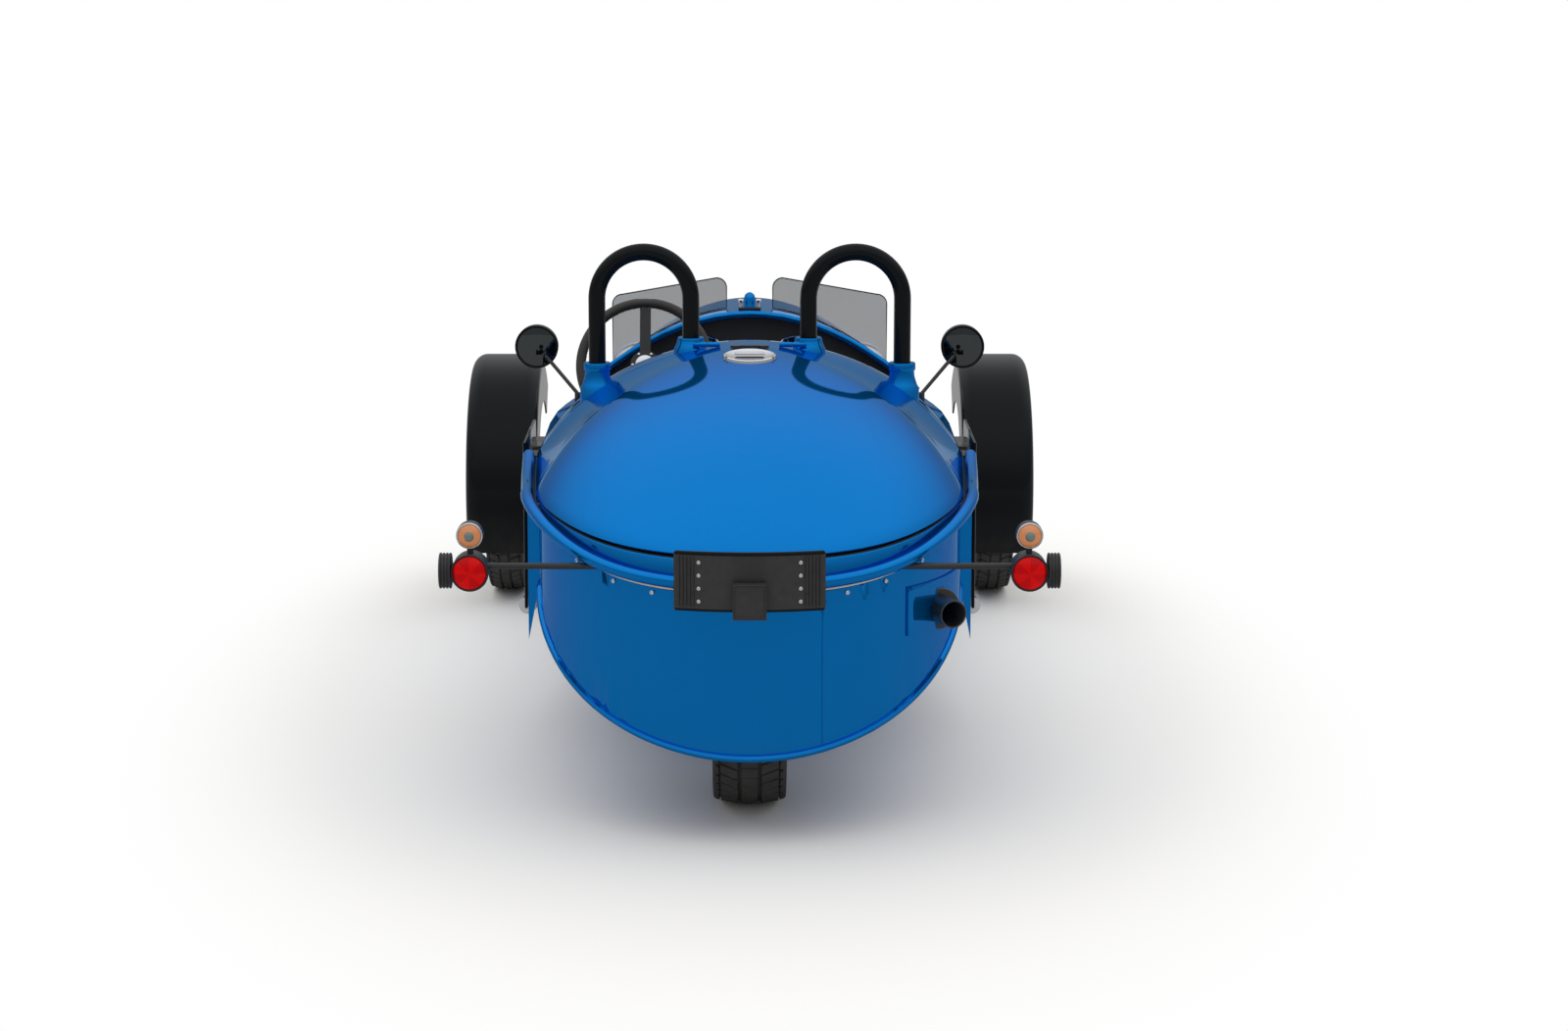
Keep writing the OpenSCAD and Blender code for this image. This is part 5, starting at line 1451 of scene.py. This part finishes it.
@dataclass
class Cockpit:
    """Dials, steering-wheel grip and boss."""

    dial_at: Place = (0.12, 0.2195, 0.84)
    dial_r: float = 0.0465
    wheel_at: Place = (-0.27, -0.02, 0.839)
    wheel_r: float = 0.166
    grip_r: float = 0.0128
    tilt: float = 20.0

    def build(self) -> None:
        """Builds the dials and dresses the steering wheel."""
        x, y, z = self.dial_at
        rim = Bench.ring("dial_rim", self.dial_r, 0.0036, 48)
        face = [(-0.0035, 0.0), (-0.0035, self.dial_r), (-0.005, self.dial_r), (-0.005, 0.0)]
        tick = Bench.block("dial_tick", (0.0012, 0.0012, 0.007), 0.0003)
        rims, faces, ticks = [], [], []
        for side in Side:
            place = Matrix.Translation((side.value * x, y, z))
            back = Matrix.Rotation(-math.pi / 2, 4, "Z")
            rims.append(place @ back)
            faces.append(place @ back)
            ticks += [place @ Matrix.Rotation(math.radians(30 * k), 4, "Y")
                      @ Matrix.Translation((0, 0.0032, 0.036)) for k in range(12)]
            ticks.append(place @ Matrix.Rotation(math.radians(-50), 4, "Y")
                         @ Matrix.Translation((0, 0.0028, 0.013)) @ Matrix.Diagonal((1.6, 1.0, 4.0, 1.0)))
        Garage.fit(Bench.repeat(rim, rims, "dial_rims"), BRIGHT, Body.HULL)
        Garage.fit(Bench.repeat(Bench.lathe("dial_face", face, 48), faces, "dial_faces"), BLACK, Body.HULL)
        Garage.fit(Bench.repeat(tick, ticks, "dial_marks"), PIPING, Body.HULL)
        self.wheel()

    def wheel(self) -> None:
        """Covers the steering wheel's rim in hide, with lacing, and sets a bright boss on its hub."""
        stand = Matrix.Translation(self.wheel_at) @ Matrix.Rotation(math.radians(90 - self.tilt), 4, "X")
        Bench.clear()
        bpy.ops.mesh.primitive_torus_add(major_radius=self.wheel_r, minor_radius=self.grip_r,
                                         major_segments=96, minor_segments=16)
        grip = bpy.context.object
        grip.name = grip.data.name = "wheel_grip"
        Bench.verts(grip, lambda co: any(abs(math.degrees(math.atan2(co.y, co.x)) % 360 - a) < 7
                                         for a in (90, 210, 330)))
        with Bench.editing(grip, Pick.VERT):
            bpy.ops.transform.shrink_fatten(value=-0.0012)
        grip.data.transform(stand)
        Bench.smooth(grip, 60.0)
        Garage.fit(grip, HIDE, Body.STEERING)
        stitch = Bench.rod("grip_stitch", 0.0008, 0.007, 0.0003, 8)
        places = [stand @ Matrix.Rotation(math.tau * k / 120, 4, "Z")
                  @ Matrix.Translation((self.wheel_r - self.grip_r, 0, 0))
                  @ Matrix.Rotation(math.radians(28 if k % 2 else -28), 4, "X") for k in range(120)]
        Garage.fit(Bench.repeat(stitch, places, "grip_stitches"), PIPING, Body.STEERING)
        boss = [(0.006, 0.0), (0.006, 0.018), (0.004, 0.024), (0.0, 0.027), (-0.003, 0.028), (-0.003, 0.0)]
        cap = Bench.lathe("wheel_boss", boss, 48)
        cap.data.transform(stand @ Matrix.Translation((0, 0, 0.0125)) @ UPRIGHT)
        Garage.fit(cap, BRIGHT, Body.STEERING)
        bolt = Bench.screw("hub_screw", 0.0032)
        places = [stand @ Matrix.Rotation(math.tau * k / 6, 4, "Z") @ Matrix.Translation((0.032, 0, 0.012))
                  for k in range(6)]
        Garage.fit(Bench.repeat(bolt, places, "wheel_hub_screws"), BRIGHT, Body.STEERING)


@dataclass
class Seats:
    """Two padded cushions and two padded backs, each simulated once and mirrored."""

    voxel: float = 0.007
    pressure: float = 4.0
    frames: int = 20
    shrink: float = 0.007
    cap: float = 0.014
    channel: float = 0.007
    channel_reach: float = 0.009

    def pad(self, node: str, name: str) -> bpy.types.Object:
        """Makes one padded piece from the right-hand solid of a seat node.

        Args:
            node: The CAD node that holds both solids.
            name: Name of the piece.

        Returns:
            The inflated pad on the right.
        """
        piece = Bench.copy(frame["nodes"][node], name)
        Bench.merge(piece)
        Bench.verts(piece, lambda co: co.x < 0)
        with Bench.editing(piece, Pick.VERT):
            bpy.ops.mesh.delete(type="VERT")
        piece.data.remesh_voxel_size = self.voxel
        Bench.alone(piece)
        bpy.ops.object.voxel_remesh()
        Bench.modify(piece, "SMOOTH", factor=0.5, iterations=12)
        with Bench.editing(piece, Pick.VERT):
            bpy.ops.mesh.select_all(action="SELECT")
            bpy.ops.transform.shrink_fatten(value=-self.shrink)
        self.inflate(piece)
        return piece

    def inflate(self, piece: bpy.types.Object) -> None:
        """Swells a pad with cloth under pressure, and caps how far its points move.

        Args:
            piece: The pad.
        """
        start = [vert.co.copy() for vert in piece.data.vertices]
        cloth = piece.modifiers.new("cloth", "CLOTH")
        cloth.settings.use_pressure = True
        cloth.settings.uniform_pressure_force = self.pressure
        cloth.settings.quality = 4
        cloth.settings.mass = 0.3
        cloth.settings.effector_weights.gravity = 0.0
        cloth.point_cache.frame_start = 1
        cloth.point_cache.frame_end = self.frames
        scene = bpy.context.scene
        for step in range(1, self.frames + 1):
            scene.frame_set(step)
        Bench.alone(piece)
        bpy.ops.object.modifier_apply(modifier=cloth.name)
        scene.frame_set(1)
        for vert, before in zip(piece.data.vertices, start):
            moved = vert.co - before
            if moved.length > self.cap:
                vert.co = before + moved * (self.cap / moved.length)

    def sew(self, piece: bpy.types.Object, lines: int, along: Vector, face: Vector) -> None:
        """Presses sewn channels into one face of a pad.

        Args:
            piece: The pad.
            lines: Number of channels.
            along: Direction across which the channels repeat.
            face: Outward direction of the face that they are sewn into.
        """
        spans = [vert.co.dot(along) for vert in piece.data.vertices]
        low, high = min(spans), max(spans)
        seams = [low + (high - low) * (k + 1) / (lines + 1) for k in range(lines)]
        normals = [vert.normal.copy() for vert in piece.data.vertices]
        for vert, span, normal in zip(piece.data.vertices, spans, normals):
            facing = max(0.0, normal.dot(face))
            near = min(abs(span - seam) for seam in seams)
            vert.co -= face * (self.channel * facing * math.exp(-((near / self.channel_reach) ** 2)))

    def build(self) -> None:
        """Builds the right-hand pads, sews them and mirrors them to the left."""
        lean = math.radians(12)
        jobs = (("seat_cushions", "seat_cushion", Vector((0, 0, 1)), 4),
                ("seat_backs", "seat_back", Vector((0, math.cos(lean), math.sin(lean))), 4))
        for node, name, face, lines in jobs:
            right = self.pad(node, f"{name}_right")
            self.sew(right, lines, Vector((1, 0, 0)), face)
            Bench.subdivide(right, 1)
            Bench.smooth(right, 80.0)
            left = Bench.copy(right, f"{name}_left", Matrix.Diagonal((-1, 1, 1, 1)))
            for piece in (right, left):
                Garage.fit(piece, HIDE, Body.HULL, node)


@dataclass
class Tyre:
    """One tyre: turned carcass with tread blocks that stand to the solid's radius.

    Attributes:
        name: Name of the piece.
        node: CAD node that it stands for.
        body: Body that it rides on.
        centre: Middle of the wheel.
        radius: Outer radius.
        width: Width.
        rim: Radius at the rim.
        pitches: Blocks round each row.
        depth: Depth of the tread.
        crown: Radius of the crown, as a share of the width.
        shoulder: Radius of the shoulder, as a share of the width.
        seat: Width at the rim, as a share of the width.
    """

    name: str
    node: str
    body: Body
    centre: Place
    radius: float
    width: float
    rim: float
    pitches: int
    depth: float = 0.006
    crown: float = 1.6
    shoulder: float = 0.14
    seat: float = 0.74

    def sag(self, along: float) -> float:
        """Returns how far the crown falls at a way along the axle."""
        crown = self.crown * self.width
        return crown - math.sqrt(crown * crown - along * along)

    def profile(self) -> list[tuple[float, float]]:
        """Returns the carcass section as places along and out from the axle."""
        half, bend = self.width / 2, self.shoulder * self.width
        flat = half - bend
        side = self.rim + (self.radius - self.rim) / 3
        wall = [(self.seat * half, self.rim + 0.0004), (half - 0.003, side - 0.006), (half, side)]
        for k in (1, 2, 3, 4):
            ring = side + (self.radius - bend - side) * k / 5
            wall += [(half - 0.0002, ring - 0.0012), (half - 0.0012, ring), (half - 0.0002, ring + 0.0012)]
        wall.append((half, self.radius - bend))
        for k in range(1, 5):
            a = math.radians(12 * k)
            along = flat + bend * math.cos(a)
            wall.append((along, min(self.radius - bend + bend * math.sin(a),
                                    self.radius - self.sag(along))))
        base = wall[-1][0] - 0.003
        tread = [base - 2 * base * k / 12 for k in range(7)]
        right = wall + [(along, self.radius - self.depth - self.sag(along)) for along in tread]
        left = [(-a, r) for a, r in reversed(right[:-1])]
        return right + left

    def rows(self) -> list[tuple[float, float, float, float]]:
        """Returns each row of blocks: middle, width, slant and share of the pitch."""
        w = self.width
        return [(0.0, 0.22 * w, 0.0, 0.94), (0.275 * w, 0.235 * w, 0.42, 0.84),
                (-0.275 * w, 0.235 * w, 0.42, 0.84), (0.43 * w, 0.05 * w, 0.5, 0.72),
                (-0.43 * w, 0.05 * w, 0.5, 0.72)]

    def build(self) -> None:
        """Builds the carcass, lays the blocks on it and fits the tyre."""
        pieces = [Bench.lathe(f"{self.name}_carcass", self.profile(), 96, closed=True)]
        pitch = math.tau * self.radius / self.pitches
        for row, (along, width, slant, share) in enumerate(self.rows()):
            high = self.depth + 0.002
            block = Bench.block(f"{self.name}_row_{row}", (width, pitch * share, high), 0.0012, 1)
            lean = Matrix.Identity(4)
            lean[1][0] = math.copysign(slant, along)
            tilt = Matrix.Rotation(math.asin(along / (self.crown * self.width)), 4, "Y")
            lift = Matrix.Translation((along, 0, self.radius - self.sag(along) - high / 2 - 0.0004))
            block.data.transform(lift @ tilt @ lean)
            phase = 0.5 * (row % 2)
            turns = [Matrix.Rotation(math.tau * (k + phase) / self.pitches, 4, "X")
                     for k in range(self.pitches)]
            pieces.append(Bench.repeat(block, turns, f"{self.name}_blocks_{row}"))
        tyre = Bench.join(pieces, self.name)
        tyre.data.transform(Matrix.Translation(self.centre))
        Garage.fit(tyre, RUBBER, self.body, self.node)


@dataclass
class Wheels:
    """Three treaded tyres and the front wheels' hub nuts."""

    front_x: float = 0.717
    front_y: float = 1.225
    front_r: float = 0.33
    rear_y: float = -1.165
    rear_r: float = 0.306
    hub_end: float = 0.046

    def build(self) -> None:
        """Builds the tyres and the hub nuts."""
        Tyre("rear_tyre_treaded", "rear_tyre", Body.REAR_WHEEL, (0.0, self.rear_y, self.rear_r),
             self.rear_r, width=0.164, rim=0.205, pitches=54, depth=0.007).build()
        nut = [(0.022, 0.0), (0.022, 0.008), (0.02, 0.012), (0.012, 0.016), (0.008, 0.026), (-0.002, 0.028),
               (-0.002, 0.016)]
        for side, body in ((Side.LEFT, Body.LEFT_WHEEL), (Side.RIGHT, Body.RIGHT_WHEEL)):
            label = side.name.lower()
            centre = (side.value * self.front_x, self.front_y, self.front_r)
            Tyre(f"front_tyre_treaded_{label}", f"front_tyre_{label}", body, centre, self.front_r,
                 width=0.106, rim=0.246, pitches=66).build()
            turned = Bench.lathe(f"hub_nut_{label}", nut, 48)
            ear = Bench.block("hub_ear", (0.012, 0.016, 0.056), 0.004)
            places = [Matrix.Translation((0.010, 0, 0)) @ Matrix.Rotation(math.pi * k, 4, "X")
                      @ Matrix.Translation((0, 0, 0.036)) for k in range(2)]
            whole = Bench.join([turned, Bench.repeat(ear, places, f"hub_ears_{label}")], f"hub_nut_{label}")
            spin = Matrix.Rotation(0.0 if side is Side.RIGHT else math.pi, 4, "Z")
            x, y, z = centre
            whole.data.transform(Matrix.Translation((x + side.value * self.hub_end, y, z)) @ spin)
            Garage.fit(whole, BRIGHT, body)


@dataclass
class Engine:
    """Nuts on the engine's rocker covers."""

    crank: Place = (0.0, 1.435, 0.33)
    top: float = 0.4235
    vee: float = 28.0
    stagger: float = 0.024
    nut_ring: float = 0.04

    def build(self) -> None:
        """Sets a ring of nuts on each rocker cover."""
        nut = [(0.009, 0.0), (0.009, 0.004), (0.006, 0.0065), (0.0, 0.0065), (0.0, 0.0095),
               (-0.002, 0.0095), (-0.002, 0.0)]
        master = Bench.lathe("cover_nut", nut, 6)
        places = []
        for side in Side:
            lean = Matrix.Rotation(math.radians(side.value * self.vee), 4, "Y")
            head = Matrix.Translation((0, side.value * self.stagger, self.top))
            stand = Matrix.Translation(self.crank) @ lean @ head
            places += [stand @ Matrix.Rotation(math.tau * k / 6, 4, "Z")
                       @ Matrix.Translation((self.nut_ring, 0, 0)) @ UPRIGHT for k in range(6)]
        Garage.fit(Bench.repeat(master, places, "rocker_cover_nuts"), BRIGHT, Body.HULL)


@dataclass
class Studio:
    """Pale floor, soft light and the camera at the photograph's view."""

    camera_at: Place = (0.0, -8.278, 1.9658)
    pitch: float = 10.43
    lens: float = 74.0
    shift: float = 0.0219
    floor_half: float = 150.0
    fade: tuple[float, float] = (1.65, 2.6)
    fade_shape: Place = (1.6, 0.8, 1.0)
    sun: float = 1.9
    sun_angle: float = 120.0
    sun_tilt: float = -14.0
    fill: float = 0.5
    shine: tuple[float, float] = (0.3, 1.0)

    def build(self) -> None:
        """Builds floor, light and camera."""
        self.camera()
        self.floor()
        self.lamp()
        self.world()
        bpy.context.scene.view_settings.view_transform = "Standard"

    def camera(self) -> None:
        """Sets the camera behind the tail, looking forward and a little down."""
        data = bpy.data.cameras.new("camera")
        data.lens = self.lens
        data.sensor_width = 36.0
        data.shift_x = self.shift
        data.clip_end = 600.0
        eye = bpy.data.objects.new("camera", data)
        eye.location = self.camera_at
        eye.rotation_euler = (math.radians(90 - self.pitch), 0.0, 0.0)
        bpy.context.scene.collection.objects.link(eye)
        bpy.context.scene.camera = eye

    def floor(self) -> None:
        """Lays a pale floor that keeps the car's shadow and turns white further out; in reflections its colour
        is painted darker, as painted shade.
        """
        Bench.clear()
        bpy.ops.mesh.primitive_plane_add(size=2 * self.floor_half)
        ground = bpy.context.object
        ground.name = "studio_floor"
        material = bpy.data.materials.new("studio_floor")
        material.use_nodes = True
        tree = material.node_tree
        tree.nodes.clear()
        out = Wires.add(tree, "OutputMaterial")
        matt = Wires.add(tree, "BsdfDiffuse")
        # Painted shade: glossy rays see the floor in a darker grey than the camera does, so its reflections in
        # the paint come out darker.
        glossy_shade_mix = Wires.add(tree, "Mix", {6: (0.9, 0.89, 0.87, 1), 7: (0.42, 0.42, 0.42, 1)}, data_type="RGBA")
        glow = Wires.add(tree, "Emission")
        path = Wires.add(tree, "LightPath")
        where = Wires.add(tree, "TexCoord")
        away = Wires.add(tree, "VectorMath", operation="LENGTH")
        shape = Wires.add(tree, "VectorMath", {1: self.fade_shape}, operation="MULTIPLY")
        ramp = Wires.add(tree, "MapRange", {"From Min": self.fade[0], "From Max": self.fade[1]},
                         interpolation_type="SMOOTHSTEP")
        seen = Wires.add(tree, "Math", operation="MULTIPLY")
        mixed = Wires.add(tree, "MixShader")
        Wires.join(tree, (path, "Is Glossy Ray", glossy_shade_mix, "Factor"), (glossy_shade_mix, 2, matt, "Color"),
                   (where, "Object", shape, 0), (shape, "Vector", away, 0), (away, "Value", ramp, "Value"),
                   (path, "Is Camera Ray", seen, 0), (ramp, "Result", seen, 1),
                   (seen, "Value", mixed, "Fac"), (matt, "BSDF", mixed, 1), (glow, "Emission", mixed, 2),
                   (mixed, "Shader", out, "Surface"))
        ground.data.materials.append(material)

    def lamp(self) -> None:
        """Hangs a broad soft light overhead, a little behind the car."""
        top = bpy.data.lights.new("top_light", "SUN")
        top.energy = self.sun
        top.angle = math.radians(self.sun_angle)
        lamp = bpy.data.objects.new("top_light", top)
        lamp.rotation_euler = (math.radians(self.sun_tilt), 0.0, 0.0)
        lamp.visible_glossy = False
        bpy.context.scene.collection.objects.link(lamp)

    def world(self) -> None:
        """Makes a white surround that fills softly and mirrors brighter overhead than at the horizon."""
        world = bpy.data.worlds.new("surround")
        bpy.context.scene.world = world
        world.use_nodes = True
        tree = world.node_tree
        tree.nodes.clear()
        out = Wires.add(tree, "OutputWorld")
        path = Wires.add(tree, "LightPath")
        fill = Wires.add(tree, "Background", {"Color": (1, 1, 1, 1), "Strength": self.fill})
        white = Wires.add(tree, "Background", {"Color": (1, 1, 1, 1), "Strength": 1.0})
        shine = Wires.add(tree, "Background", {"Color": (0.96, 0.98, 1.0, 1)})
        where = Wires.add(tree, "TexCoord")
        split = Wires.add(tree, "SeparateXYZ")
        ramp = Wires.add(tree, "MapRange", {"From Max": 0.85, "To Min": self.shine[0],
                                            "To Max": self.shine[1]}, interpolation_type="SMOOTHSTEP")
        seen = Wires.add(tree, "Math", operation="MAXIMUM")
        first = Wires.add(tree, "MixShader")
        second = Wires.add(tree, "MixShader")
        Wires.join(tree, (where, "Generated", split, "Vector"), (split, "Z", ramp, "Value"),
                   (ramp, "Result", shine, "Strength"), (path, "Is Camera Ray", seen, 0),
                   (path, "Is Transmission Ray", seen, 1), (path, "Is Glossy Ray", first, "Fac"),
                   (fill, "Background", first, 1), (shine, "Background", first, 2),
                   (seen, "Value", second, "Fac"), (first, "Shader", second, 1),
                   (white, "Background", second, 2), (second, "Shader", out, "Surface"))


def write_sizes() -> None:
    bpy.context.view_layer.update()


def main() -> None:
    """Builds the studio and each sub-assembly in order."""
    logging.basicConfig(level=logging.INFO, format="%(name)s %(message)s")
    Garage.finish_nodes()
    kinds = (Studio, TailShell, Hull, Lamps, PlateHolder, Cockpit, Wheels, Engine, Seats)
    for kind in kinds:
        part = kind()
        part.build()
        LOG.info("%s done", kind.__name__)
    write_sizes()


if __name__ == "__main__":
    main()
